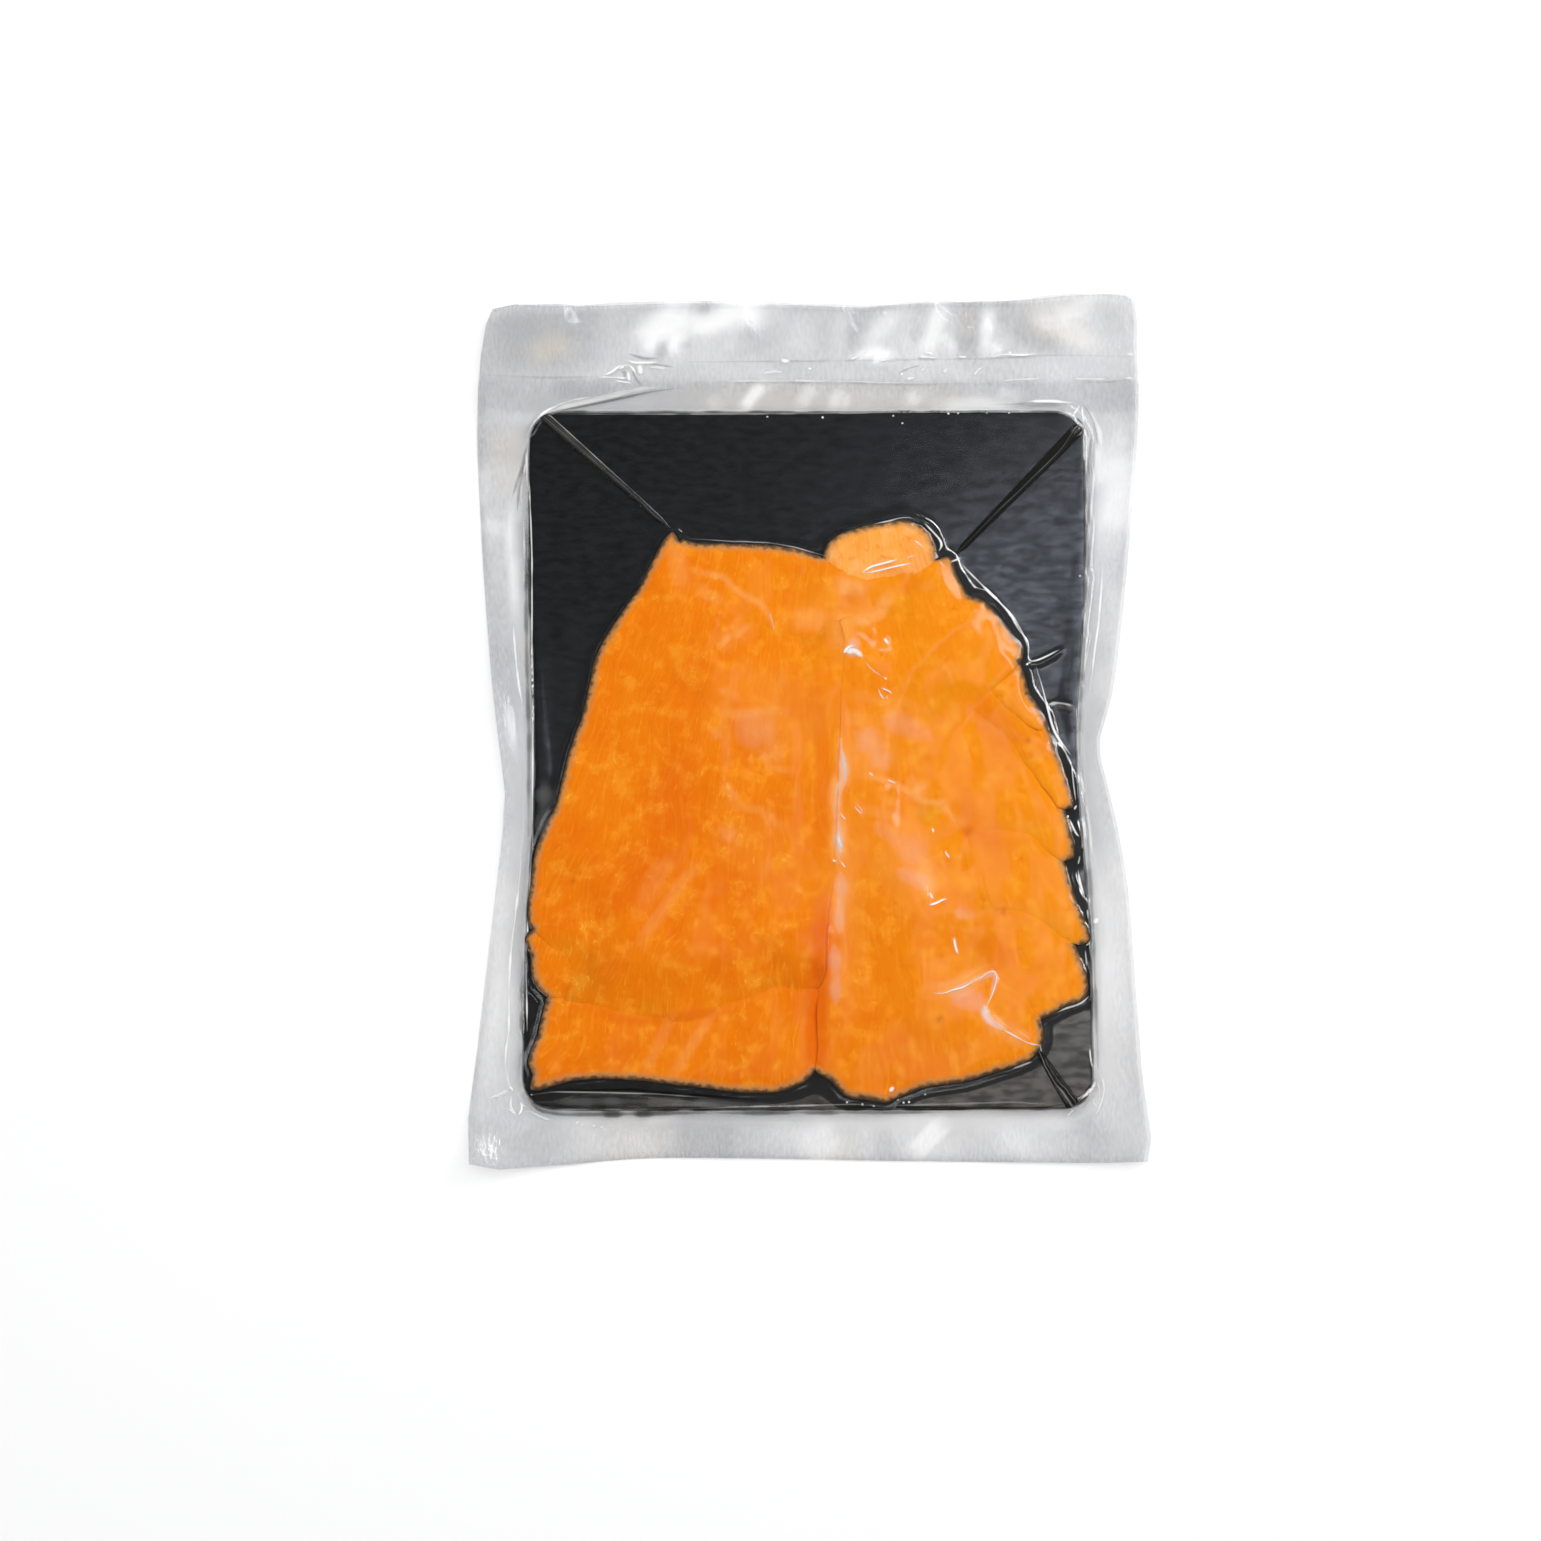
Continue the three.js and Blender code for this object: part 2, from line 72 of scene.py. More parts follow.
# From the lowest to the highest
SLICES = ("slice_lower_left", "slice_left_edge", *PALE_SLICES, "slice_top_band", *FAN_SLICES, *MAIN_SLICES)

# Places on the pack, in millimetres of the row frame: the weld's two edges, the middle of the puckers
# under it, and where the fibres of the flesh would meet
WELD_FROM = 106
WELD_TO = 112.8
PUCKERS_AT = 103.5
FIBRES_MEET_AT = (2, 185)

# How far out the neighbour of an edge is looked for, and how much lower it is to be a step down
BESIDE = 1.6 * MM
STEP_DOWN = 0.7 * MM

# How an upper slice runs out on a lower one: how far in it is thinned, how much its rim stands up near
# bare card and how much it sinks in elsewhere, and how thick it stays
THINNED_OVER = 28 * MM
RIM_UP = 0.5 * MM
RIM_SUNK = 0.25 * MM
RIM_THICK = 0.3 * MM

# How far a hidden part is kept under the top of what lies on it
HIDDEN_UNDER = 0.35 * MM

# Gaps between the film's two layers where they cling, and between the front film and its creases
FILM_GAP = 0.06 * MM
CREASE_GAP = 0.08 * MM

# Pleats of the front film: from the card's corner to the tip of the fish, half their width, and the
# painted highlight lines along them by their place across, width and strength
PLEATS = {
    "pleat_top_left": (
        (-80.4, 94.6), (-41.4, 59.6), 1.9,
        ((-0.85, 0.1, 0.5), (-0.5, 0.07, 0.12), (-0.1, 0.14, 0.16), (0.3, 0.08, 0.1)),
    ),
    "pleat_top_right": (
        (83.6, 91.4), (44.6, 51.2), 2.2,
        ((0, 0.07, 0.14), (-0.35, 0.05, 0.05)),
    ),
    "pleat_bottom_right": (
        (78.4, -114.0), (68.0, -97.6), 2.3,
        ((-0.35, 0.1, 0.4), (0.35, 0.08, 0.15)),
    ),
}

# Larger creases of the front film: how high they stand, and their line
CREASES = (
    (0.8, (65.2, 17.9), (69.7, 17.9), (74.2, 20.3), (76.3, 21.8)),
    (0.45, (37.5, -80.9), (44.9, -79.4), (53.8, -74.1), (55.9, -77), (53.2, -82.5), (52.2, -85.9)),
    (0.6, (52.2, -85.9), (56.6, -90.3), (62.5, -93.2), (67.4, -96.7)),
    (0.35, (9.2, 6), (8.6, -14.6), (9.2, -32.5), (8.4, -47.4)),
    (0.35, (33.9, -47.4), (35.1, -54), (38, -54.9), (40.4, -51.3)),
    (0.4, (42.7, -60.8), (43.9, -64.6), (45, -68.2)),
    (0.3, (38.1, -37), (39.9, -40.3)),
    (0.3, (18, -18.2), (26, -22.1)),
    (0.3, (20.5, 9.5), (22.9, 11.3), (25.3, 9.5), (23.5, 7.1), (20.5, 9.5)),
    (0.4, (11.3, 22.2), (14.9, 21), (17.6, 18.6)),
    (0.35, (23, 27.1), (24.2, 23.1)),
    (0.3, (12.7, -23.6), (14.7, -26), (15.6, -27.8)),
    (0.45, (16.5, 45.7), (23.4, 48.1), (32.4, 49.9)),
    (0.9, (-92.3, 49), (-90.4, 67.4), (-87, 85), (-80, 97), (-66, 101), (-50, 104)),
    (0.6, (-89.5, -77), (-90.5, -95), (-89.5, -108)),
    (0.3, (71, 4.7), (75.5, 5.9), (80, 4.7)),
)


# Painted highlights and painted shade lines along fine creases of the front film, and painted soft
# sheens, over the card and beside the fish: half their width, how bright they are from 0 to 1, how
# much they cover, and their line
CARD_LINES = (
    (1.5, 0.6, 0.1, (-80, -112.9), (-60, -112.6), (-40, -112.8), (-10, -113.6)),
    (3, 1, 0.05, (-78.6, -17), (-78.2, -26), (-79, -36)),
    (1.4, 1, 0.03, (-81, -90), (-81.4, -100)),
    (
        2.0, 1, 0.22, (9.6, -5.1), (10.4, -11.1), (11, -16), (9.4, -21), (8.4, -25.9), (9, -30.9),
        (9.2, -36.8), (9.6, -42.8),
    ),
    (2.4, 1, 0.14, (9.6, -44.7), (10.2, -50.7), (9.2, -57.6), (9.4, -63.6)),
    (0.8, 1, 0.3, (10.4, -9.1), (11.1, -14.5), (10.8, -19)),
    (0.9, 1, 0.35, (9.2, -32.9), (9.4, -36.8), (10, -39.8)),
    (2.4, 1, 0.12, (8.3, -84.3), (8.1, -74.4), (7.8, -66.5)),
    (4, 1, 0.07, (21.7, 0.8), (29.6, -1.2), (37.5, -5.1)),
    (5, 1, 0.09, (13.7, -3.2), (19.7, -7.1), (23.6, -15)),
    (3, 1, 0.1, (25.6, -44.7), (33.5, -47.7), (36.5, -50.7)),
    (4, 1, 0.12, (41.5, -80.4), (47.4, -82.4), (53.3, -85.3)),
    (5, 1, 0.07, (19.7, -30.9), (29.6, -36.8), (35.5, -42.8)),
    (3, 1, 0.1, (43.4, -56.6), (49.4, -58.6)),
    (6, 1, 0.05, (-21.9, 0.8), (-12, -5.1), (-8, -13.1)),
    (3.4, 1, 0.18, (11.8, 22.6), (15.7, 21.6)),
    (
        0.5, 1, 0.95, (46, 49.3), (48.5, 46.5), (52, 43), (56, 38.8), (60, 34.8), (63, 31), (65.5, 26),
        (66.8, 21),
    ),
    (
        0.48, 1, 0.95, (68.8, 17), (70.3, 12), (71.3, 8), (72, 4.5), (73, 0), (74, -3), (76, -6),
        (78.6, -9.5),
    ),
    (0.4, 1, 0.9, (66, 18.6), (69, 18.9), (72.5, 20.5), (75.7, 22.2)),
    (0.8, 1, 0.55, (72.2, 5.5), (75, 6.2), (79.5, 5.2)),
    (0.45, 1, 0.95, (43.4, 48.9), (46.5, 50.5)),
    (0.45, 1, 0.95, (35.5, 60.8), (37.5, 58.5), (40.2, 56), (41, 54.3), (39.8, 52.2)),
    (0.3, 1, 0.6, (20, 60.3), (25, 61.2), (28, 62.3), (31, 62.6), (34.5, 61.6)),
    (0.35, 0.6, 0.6, (-36, 56), (-30, 55.9), (-22, 55.2), (-12, 54.9), (-4, 53.3), (3, 51.2), (6.5, 50.2)),
    (0.35, 1, 0.7, (79, -12), (79.3, -18), (79.9, -23.5)),
    (0.4, 1, 0.8, (79.4, -26.3), (80.2, -25)),
    (0.38, 1, 0.9, (77.9, -29.2), (79.2, -32), (80.4, -34.5), (80.9, -34.2)),
    (0.4, 1, 0.85, (81.1, -40), (80.5, -42.5)),
    (0.45, 1, 0.85, (80.5, -44), (81, -48), (82.6, -53)),
    (0.4, 1, 0.6, (83.1, -56), (83.3, -59)),
    (0.4, 1, 0.9, (82.4, -66.8), (83.8, -65.8)),
    (0.35, 1, 0.5, (82.3, -68), (82.7, -73)),
    (0.4, 1, 0.9, (73.3, -86.8), (76, -85.3), (79, -84.6), (81.5, -83.5), (83, -81.8)),
    (0.4, 1, 0.6, (60, -103.2), (66.3, -100.9)),
    (0.6, 0.45, 0.3, (30, -110.8), (45, -108.6), (60, -104.5)),
    (0.5, 0.5, 0.4, (25, -113.8), (45, -113.3), (60, -112.8), (70, -113.4)),
    (0.3, 0.5, 0.5, (-82, -110.8), (-75, -109.8), (-60, -110), (-45, -110.4), (-30, -111.5)),
    (
        0.35, 0, 0.95, (-82, -110.3), (-76, -109.2), (-66, -109.3), (-52, -109.1), (-42, -110),
        (-30, -110.9), (-15, -112.3),
    ),
    (0.35, 0.6, 0.5, (-32, -114.6), (-20, -114.2), (0, -113.8), (14, -113.4), (25, -114.2)),
    (
        0.4, 0, 0.9, (-81, -113), (-76, -115.2), (-60, -115.3), (-30, -115.1), (0, -115), (40, -115),
        (70, -114.4), (77, -113),
    ),
    (0.35, 1, 0.8, (83.4, -97), (83.6, -100), (84.2, -103)),
    (0.35, 0.75, 0.7, (84.3, -108), (80, -111.8), (77, -112.9)),
    (0.4, 1, 0.9, (84, 89.5), (84.3, 84), (84.2, 80)),
    (0.8, 1, 0.85, (24, -109.8), (25.2, -108.4)),
)

# Small glints on the card and on the border: where they start
CARD_GLINTS = (
    (11.2, -112.9), (15.7, -113.5), (19, -114), (26.2, -112.2), (27.9, -113), (29.5, -112.8),
    (34.3, -110.6), (-81.8, -110.7), (25.9, 94.3), (4.5, 93.8), (42.7, 95), (45.7, 95.1), (54.4, 95.2),
    (61.2, 95.2), (28.7, 92), (-12.3, 94), (82, 44.8),
)
BORDER_GLINTS = (
    (-70.3, -118.7), (-68.3, -118.9), (-66.8, -119.6), (-63.5, -119.9), (-61.3, -120.2), (-60.3, -121),
)

# Painted highlight and shade lines along the card's rim, then on the border, the weld and the lip, and last
# painted highlights over the fish
RIM_LINES = (
    (
        0.4, 1, 0.98, (-84.8, 84), (-84.2, 74), (-83.5, 62), (-83, 50), (-82.9, 40), (-82.7, 20),
        (-82.3, 10), (-82.1, 0), (-82, -30), (-82, -36.5),
    ),
    (0.4, 1, 0.9, (-83.2, -60.3), (-82.9, -63)),
    (0.35, 1, 0.85, (-84.3, -67), (-83.4, -72), (-83.3, -78), (-83, -92)),
    (0.3, 1, 0.5, (-84.4, -78), (-84, -93.5)),
    (0.8, 0, 0.42, (-84.8, 66), (-84.8, 50), (-84.6, 30), (-84, 12), (-83.3, -5), (-83.2, -34)),
    (1, 0, 0.35, (-84.6, -76), (-84.4, -94)),
    (
        0.35, 0.35, 0.7, (-78, 94.9), (-60, 94.9), (-40, 94.9), (-15, 95), (5, 95.1), (30, 95.5), (60, 96),
        (74, 96.2), (79, 94.8), (81, 93.3),
    ),
    (1.1, 0.03, 0.75, (-83, -111.5), (-79, -115.4), (-72, -116.5), (-55, -116.3), (-30, -115.9)),
    (0.8, 0.03, 0.5, (-30, -116), (0, -115.9), (40, -115.8)),
    (0.9, 0.12, 0.5, (85.4, 90), (85.2, 70), (84.2, 40), (83, 20), (81.6, 0), (81.5, -10)),
    (0.9, 0.2, 0.35, (86.8, 89), (86.6, 76)),
    (0.8, 0.12, 0.4, (82.2, -14), (83.4, -30), (84.3, -50), (85.3, -80), (85.9, -103)),
)
BORDER_LINES = (
    (0.6, 1, 0.95, (-84.6, 88.5), (-83.2, 92), (-80, 95.4), (-75, 98.3), (-70, 99.7), (-66, 100.4)),
    (1, 1, 0.5, (-80, 94.8), (-74, 97.3), (-68, 98.9), (-60, 100.7), (-52, 102.7), (-44, 103.7)),
    (0.5, 0, 0.4, (-80.5, 94), (-76, 96), (-70, 97.2), (-60, 99.4), (-48, 102), (-38, 103.4)),
    (0.6, 0, 0.6, (-83.5, 90), (-81, 93.2), (-78, 95.2)),
    (0.6, 0, 0.3, (-84.8, 86), (-86.2, 79), (-88, 74), (-89.5, 68)),
    (0.6, 0, 0.25, (-85.6, 80), (-87.3, 72), (-87.8, 65)),
    (0.6, 1, 0.95, (-85.3, 80), (-85.8, 76.5)),
    (0.5, 1, 0.7, (-85.2, 84), (-84.8, 77), (-84.2, 70)),
    (0.7, 1, 0.6, (-86.5, 74), (-86.8, 67)),
    (0.5, 1, 0.6, (-85.8, 62), (-85.4, 52), (-85.4, 40)),
    (0.45, 1, 0.7, (-88.6, 31), (-87.6, 20), (-86.5, 11), (-85.3, 5)),
    (
        0.6, 1, 0.8, (-85.2, -40), (-86, -50), (-87.2, -60), (-88.3, -70), (-88.6, -80), (-88.5, -92),
        (-89.4, -98), (-89.3, -103), (-88, -109),
    ),
    (0.5, 1, 0.9, (-63.5, 106.8), (-58, 106.6), (-54.5, 106.4)),
    (0.5, 1, 0.95, (-63, 106.8), (-59.5, 108.2), (-57, 110.4), (-53.5, 110.6), (-51.5, 106.4)),
    (0.5, 1, 0.9, (-57.5, 109.4), (-55.5, 110.1)),
    (0.45, 1, 0.9, (-58.5, 105.6), (-53, 104.8)),
    (0.55, 1, 0.95, (-55.5, 112.6), (-53, 111.2), (-45, 111.4)),
    (0.8, 1, 0.9, (-54.5, 108.5), (-54, 105.5)),
    (1.1, 1, 0.8, (-51, 110.8), (-50.5, 107.5)),
    (0.8, 1, 0.6, (-48.5, 109.8), (-46, 110), (-42.5, 109.3)),
    (0.5, 0, 0.3, (-54.5, 113.9), (-49, 112.4), (-45, 112.7)),
    (0.35, 0, 0.25, (-48, 110.9), (-44, 110.5), (-40, 109.8)),
    (0.7, 0, 0.2, (-55, 106.9), (-56, 109)),
    (0.5, 0, 0.25, (-53, 109), (-52, 106), (-50, 103.5)),
    (0.5, 1, 0.85, (36, 114.3), (37.5, 114.9), (38.8, 113.8)),
    (0.4, 1, 0.8, (34, 113.4), (40, 112.7)),
    (0.4, 1, 0.9, (46.2, 113.2), (49, 113)),
    (0.45, 1, 0.95, (54.5, 113), (57, 113.2), (60, 114), (66, 113.6), (70, 114)),
    (0.6, 1, 0.95, (61.3, 114.3), (62.6, 114.5)),
    (0.8, 1, 0.9, (-8, 112), (-5, 111.7)),
    (0.5, 1, 0.95, (13, 112.2), (16, 113.4), (18.5, 114.8)),
    (0.35, 1, 0.8, (22, 111.8), (24.5, 112.4), (28, 112)),
    (0.5, 1, 0.5, (-28, 105.5), (-4, 105.6), (8, 105.5)),
    (0.45, 1, 0.45, (8, 105.5), (24, 105), (40, 104.8)),
    (0.45, 1, 0.85, (59.5, 105.5), (63, 106), (68, 106.2), (72, 106.1)),
    (0.4, 1, 0.5, (81, 106.2), (92, 105.9)),
    (0.8, 1, 0.9, (97, 106.2), (99.3, 106)),
    (0.8, 1, 0.85, (97.5, 113.8), (99.5, 113.4)),
    (0.5, 1, 0.8, (94.5, 115), (95.2, 116)),
    (0.6, 0, 0.14, (-99, 106.6), (-88, 106.5), (-78, 106.3), (-64, 106.9)),
    (0.5, 0, 0.1, (-30, 104.8), (0, 104.9), (30, 104.5), (58, 104.7)),
    (
        0.45, 0, 0.14, (-40, 111.5), (-20, 111.6), (10, 111.9), (34, 112.4), (54, 112.5), (74, 113.4),
        (99, 113),
    ),
    (0.4, 0, 0.15, (84, 105), (92, 105), (99, 105.5)),
    (0.35, 0, 0.2, (28, 108), (31, 109.6), (35, 110.6)),
    (0.5, 1, 0.9, (28.8, 107.9), (29.6, 107.7)),
    (0.5, 1, 0.8, (30.5, 106.2), (33.2, 106.8)),
    (0.5, 1, 0.8, (35, 108.8), (36, 109.8)),
    (0.6, 1, 0.5, (-14, 107.8), (-10, 108.6), (-7, 108.4)),
    (0.5, 1, 0.9, (0.5, 109.4), (1.8, 109.5)),
    (0.7, 1, 0.6, (41.8, 108.2), (43, 109.6)),
    (0.5, 1, 0.6, (51, 107), (52.2, 109.4), (54, 109.9)),
    (0.6, 1, 0.95, (66.5, 99.2), (75, 99.3), (82, 98.6)),
    (0.6, 0, 0.22, (57, 98.3), (64, 98.2), (68, 98.7)),
    (0.9, 0, 0.16, (66, 97.8), (78, 98)),
    (0.8, 1, 0.98, (81, 94.6), (83.2, 98)),
    (0.5, 1, 0.95, (83.8, 97.8), (84.3, 92)),
    (0.5, 1, 0.9, (81, 93.6), (83.4, 91)),
    (1.1, 1, 0.7, (85, 97.5), (87, 95), (89, 90), (89.6, 84)),
    (0.4, 0, 0.7, (82, 93.8), (83.8, 91.6)),
    (0.5, 0, 0.2, (84.3, 98.2), (86.5, 95), (88, 90.5), (88.3, 84)),
    (0.45, 1, 0.75, (89.5, 50), (88.8, 40), (87.8, 30), (86.5, 22), (85, 10)),
    (0.7, 1, 0.55, (81.5, -14), (82.8, -22), (84.2, -32), (85, -42)),
    (1, 1, 0.8, (85, -60), (86.6, -58.5)),
    (0.6, 1, 0.85, (85.2, -106.5), (84, -109), (80.5, -112)),
    (0.6, 1, 0.9, (78.5, -115), (76.5, -117)),
    (0.5, 1, 0.6, (85.5, -106.5), (86.3, -109), (86, -112)),
    (0.55, 1, 0.8, (87, -105), (87.8, -109), (86.8, -113), (85, -116.5)),
    (0.6, 1, 0.6, (84.4, -111.5), (84.8, -114)),
    (0.35, 0, 0.7, (84.8, -106), (81.5, -110.5), (78.5, -112.3)),
    (0.5, 1, 0.8, (-88.2, -108), (-87, -109.5)),
    (0.35, 1, 0.8, (-88.6, -114.5), (-86, -116.5)),
    (0.4, 1, 0.7, (-87.5, -111), (-88, -114), (-86, -116.8)),
    (0.45, 1, 0.9, (-85, -112.5), (-84, -114.5), (-85.5, -116.8)),
    (0.35, 1, 0.8, (-84.5, -113), (-83.5, -114.5), (-83, -114)),
    (0.5, 1, 0.6, (-83, -115), (-79, -117), (-75.5, -118.3)),
    (0.7, 1, 0.5, (-95, -112), (-91, -110.5), (-88, -109)),
    (0.5, 0.7, 0.6, (-84.2, -112), (-80, -115.6), (-76, -117)),
)
FISH_LINES = (
    (0.7, 1, 0.85, (10.8, 20.2), (12.8, 22.8), (14.2, 22.6)),
    (1.1, 1, 0.9, (11.3, 20.6), (14.2, 21.2), (16.5, 19)),
    (0.7, 1, 0.9, (23, 25.1), (24.2, 23.1)),
    (0.4, 1, 0.7, (22.9, 12.9), (23.6, 12.3)),
    (0.4, 1, 0.9, (21.2, 9.5), (21.5, 7.7), (22.9, 6.3)),
    (0.3, 1, 0.7, (22.2, 9.6), (24.6, 9), (25.2, 7.9)),
    (0.3, 1, 0.5, (24.2, 7.5), (23.4, 6.4)),
    (0.25, 1, 0.35, (17.2, 17.6), (19.2, 15.1), (22.2, 13.3)),
    (0.7, 1, 0.35, (10.1, -8.1), (10.6, -12.1), (11.4, -16), (11, -20)),
    (0.6, 1, 0.35, (9.3, -18), (8.1, -22.5)),
    (0.35, 1, 0.7, (9.8, -27.7), (10.2, -28.9), (11.4, -29.7)),
    (0.8, 1, 0.6, (9, -34.3), (9.2, -36), (10.3, -38.3)),
    (0.4, 1, 0.8, (7.4, -41.6), (8.6, -42.1)),
    (0.4, 1, 0.85, (9.7, -42), (11.2, -43.8)),
    (0.4, 1, 0.8, (13.9, -25.5), (14.7, -27.2), (16.3, -28)),
    (0.3, 1, 0.6, (14.3, -25.3), (15.9, -25.9), (16.5, -27.9)),
    (0.4, 1, 0.5, (18.2, -15.5), (19.7, -16.8)),
    (0.35, 1, 0.85, (23.6, -17.7), (26.7, -18.8)),
    (0.4, 1, 0.6, (37.1, -31.9), (37.5, -33.3)),
    (0.4, 1, 0.7, (40.7, -38.8), (42.1, -41)),
    (0.5, 1, 0.6, (36, -51.2), (37, -53.2)),
    (0.4, 1, 0.9, (35.7, -55.1), (38.3, -54.5), (40.1, -53), (41.3, -53.1)),
    (0.6, 1, 0.85, (43.2, -64.5), (43.6, -67.5), (44.4, -69.5)),
    (
        0.3, 1, 0.8, (36.7, -80.9), (40, -81.2), (42.5, -80), (45.9, -79.3), (48.4, -77.6), (51.4, -76.2),
        (53.8, -74.3), (55.6, -74.3), (56, -76.4), (54.9, -79.9), (53.9, -82.4), (52, -86.3),
    ),
    (1.3, 1, 0.22, (42.5, -80), (51.4, -76.2), (55.2, -74.6), (55.6, -77.4), (53.4, -83.4)),
    (1.7, 1, 0.55, (52, -84.3), (52.4, -88), (55.3, -90.3), (58.8, -92)),
    (0.35, 1, 0.7, (56.3, -90.9), (61.3, -93.7), (65.2, -95.8), (68.7, -96.2)),
    (0.4, 1, 0.6, (68.4, -96), (69.2, -99.2)),
    (0.5, 1, 0.95, (16.4, 45), (18.7, 46.9), (22.7, 47.9), (27.6, 49.2)),
    (0.35, 1, 0.9, (16.7, 44.8), (21.7, 45.9), (27.6, 47.3), (31.6, 48.1)),
    (0.4, 1, 0.7, (29.6, 49.6), (32.6, 50.5)),
    (0.35, 1, 0.8, (32.1, 55), (34, 54.3), (34.9, 52.7)),
    (0.3, 1, 0.25, (-11.5, 33.5), (-10.2, 29.5), (-9.9, 27.5)),
)


# Small helpers for meshes and numbers


def linear(code):
    """A linear colour from an sRGB hex code."""
    parts = [int(code[i : i + 2], 16) / 255 for i in (1, 3, 5)]
    return tuple(c / 12.92 if c <= 0.04045 else ((c + 0.055) / 1.055) ** 2.4 for c in parts)


def smooth_step(low, high, value):
    """0 below low, 1 above high, with a soft change between."""
    t = np.clip((value - low) / (high - low), 0, 1)
    return t * t * (3 - 2 * t)


def bumps(x, y, size, seed):
    """Smooth bumps about size across, from -1 to 1, the same each run."""
    table = np.random.default_rng(seed).uniform(-1, 1, (64, 64))
    u, v = x / size, y / size
    i, j = np.floor(u).astype(int), np.floor(v).astype(int)
    s, t = (f**3 * (f * (f * 6 - 15) + 10) for f in (u - i, v - j))
    near = table[i % 64, j % 64] * (1 - s) + table[(i + 1) % 64, j % 64] * s
    far = table[i % 64, (j + 1) % 64] * (1 - s) + table[(i + 1) % 64, (j + 1) % 64] * s
    return near * (1 - t) + far * t


def line_distance(x, y, points):
    """How far each place is from a line through points, and how far along it the nearest point is."""
    points = np.asarray(points, float)
    steps = np.diff(points, axis=0)
    lengths = np.hypot(*steps.T)
    starts = np.concatenate([[0], np.cumsum(lengths)])
    best, along = np.full(x.shape, np.inf), np.zeros(x.shape)
    for start, step, length, so_far in zip(points, steps, lengths, starts):
        share = np.clip(((x - start[0]) * step[0] + (y - start[1]) * step[1]) / length**2, 0, 1)
        far = np.hypot(x - start[0] - share * step[0], y - start[1] - share * step[1])
        nearer = far < best
        best = np.where(nearer, far, best)
        along = np.where(nearer, (so_far + share * length) / starts[-1], along)
    return best, along


def vertices_of(obj):
    """The vertices of a mesh as an array."""
    co = np.empty(len(obj.data.vertices) * 3)
    obj.data.vertices.foreach_get("co", co)
    return co.reshape(-1, 3)


def normals_of(obj):
    """The normals at the vertices of a mesh as an array."""
    found = np.empty(len(obj.data.vertices) * 3)
    obj.data.vertex_normals.foreach_get("vector", found)
    return found.reshape(-1, 3)


def put_vertices(obj, co):
    """Moves the vertices of a mesh."""
    obj.data.vertices.foreach_set("co", np.asarray(co, np.float32).ravel())
    obj.data.update()


def put_attribute(obj, name, values):
    """Stores a number or a vector for each vertex."""
    values = np.asarray(values, np.float32)
    kind, field = ("FLOAT", "value") if values.ndim == 1 else ("FLOAT_VECTOR", "vector")
    obj.data.attributes.new(name, kind, "POINT").data.foreach_set(field, values.ravel())


def only(obj):
    """Makes obj the one thing selected."""
    bpy.ops.object.select_all(action="DESELECT")
    obj.select_set(True)
    bpy.context.view_layer.objects.active = obj


def in_edit(*steps):
    """Runs edit-mode operators on all of the active mesh."""
    bpy.ops.object.mode_set(mode="EDIT")
    bpy.ops.mesh.select_all(action="SELECT")
    for step in steps:
        step()
    bpy.ops.object.mode_set(mode="OBJECT")


def modify(obj, kind, **settings):
    """Adds a modifier to obj and applies it."""
    only(obj)
    modifier = obj.modifiers.new(kind.title(), kind)
    for name, value in settings.items():
        setattr(modifier, name, value)
    bpy.ops.object.modifier_apply(modifier=modifier.name)


def copy_of(node, name):
    """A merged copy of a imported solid."""
    only(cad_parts[node])
    bpy.ops.object.duplicate()
    made = bpy.context.active_object
    for key in list(made.keys()):
        del made[key]
    made.parent = None
    made.name = made.data.name = name
    made.data.materials.clear()
    in_edit(lambda: bpy.ops.mesh.remove_doubles(threshold=0.02 * MM))
    return made


def finish_piece(piece, material, slot, *nodes):
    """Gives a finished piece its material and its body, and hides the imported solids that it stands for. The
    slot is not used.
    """
    piece.data.materials.clear()
    piece.data.materials.append(material)
    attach(piece, "root")
    if nodes:
        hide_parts(*nodes)


def ray_heights(obj, x, y, upward=False):
    """Where a ray straight down, or up, first meets obj at each place. Nan where it misses."""
    co = vertices_of(obj)
    found = np.full(x.shape, np.nan)
    low, high = co.min(0), co.max(0)
    flat_x, flat_y, flat = x.ravel(), y.ravel(), found.ravel()
    over = (flat_x > low[0]) & (flat_x < high[0]) & (flat_y > low[1]) & (flat_y < high[1])
    if not over.any():
        return found
    tree = BVHTree.FromPolygons(co.tolist(), [tuple(face.vertices) for face in obj.data.polygons])
    start, way = (-SKY, Vector((0, 0, 1))) if upward else (SKY, Vector((0, 0, -1)))
    for k in np.flatnonzero(over):
        hit = tree.ray_cast(Vector((flat_x[k], flat_y[k], start)), way)[0]
        if hit is not None:
            flat[k] = hit.z
    return found


def highest(objects, x, y):
    """The top of several meshes at each place, and far below where there is none."""
    top = np.full(x.shape, -1.0)
    for obj in objects:
        top = np.fmax(top, ray_heights(obj, x, y))
    return top


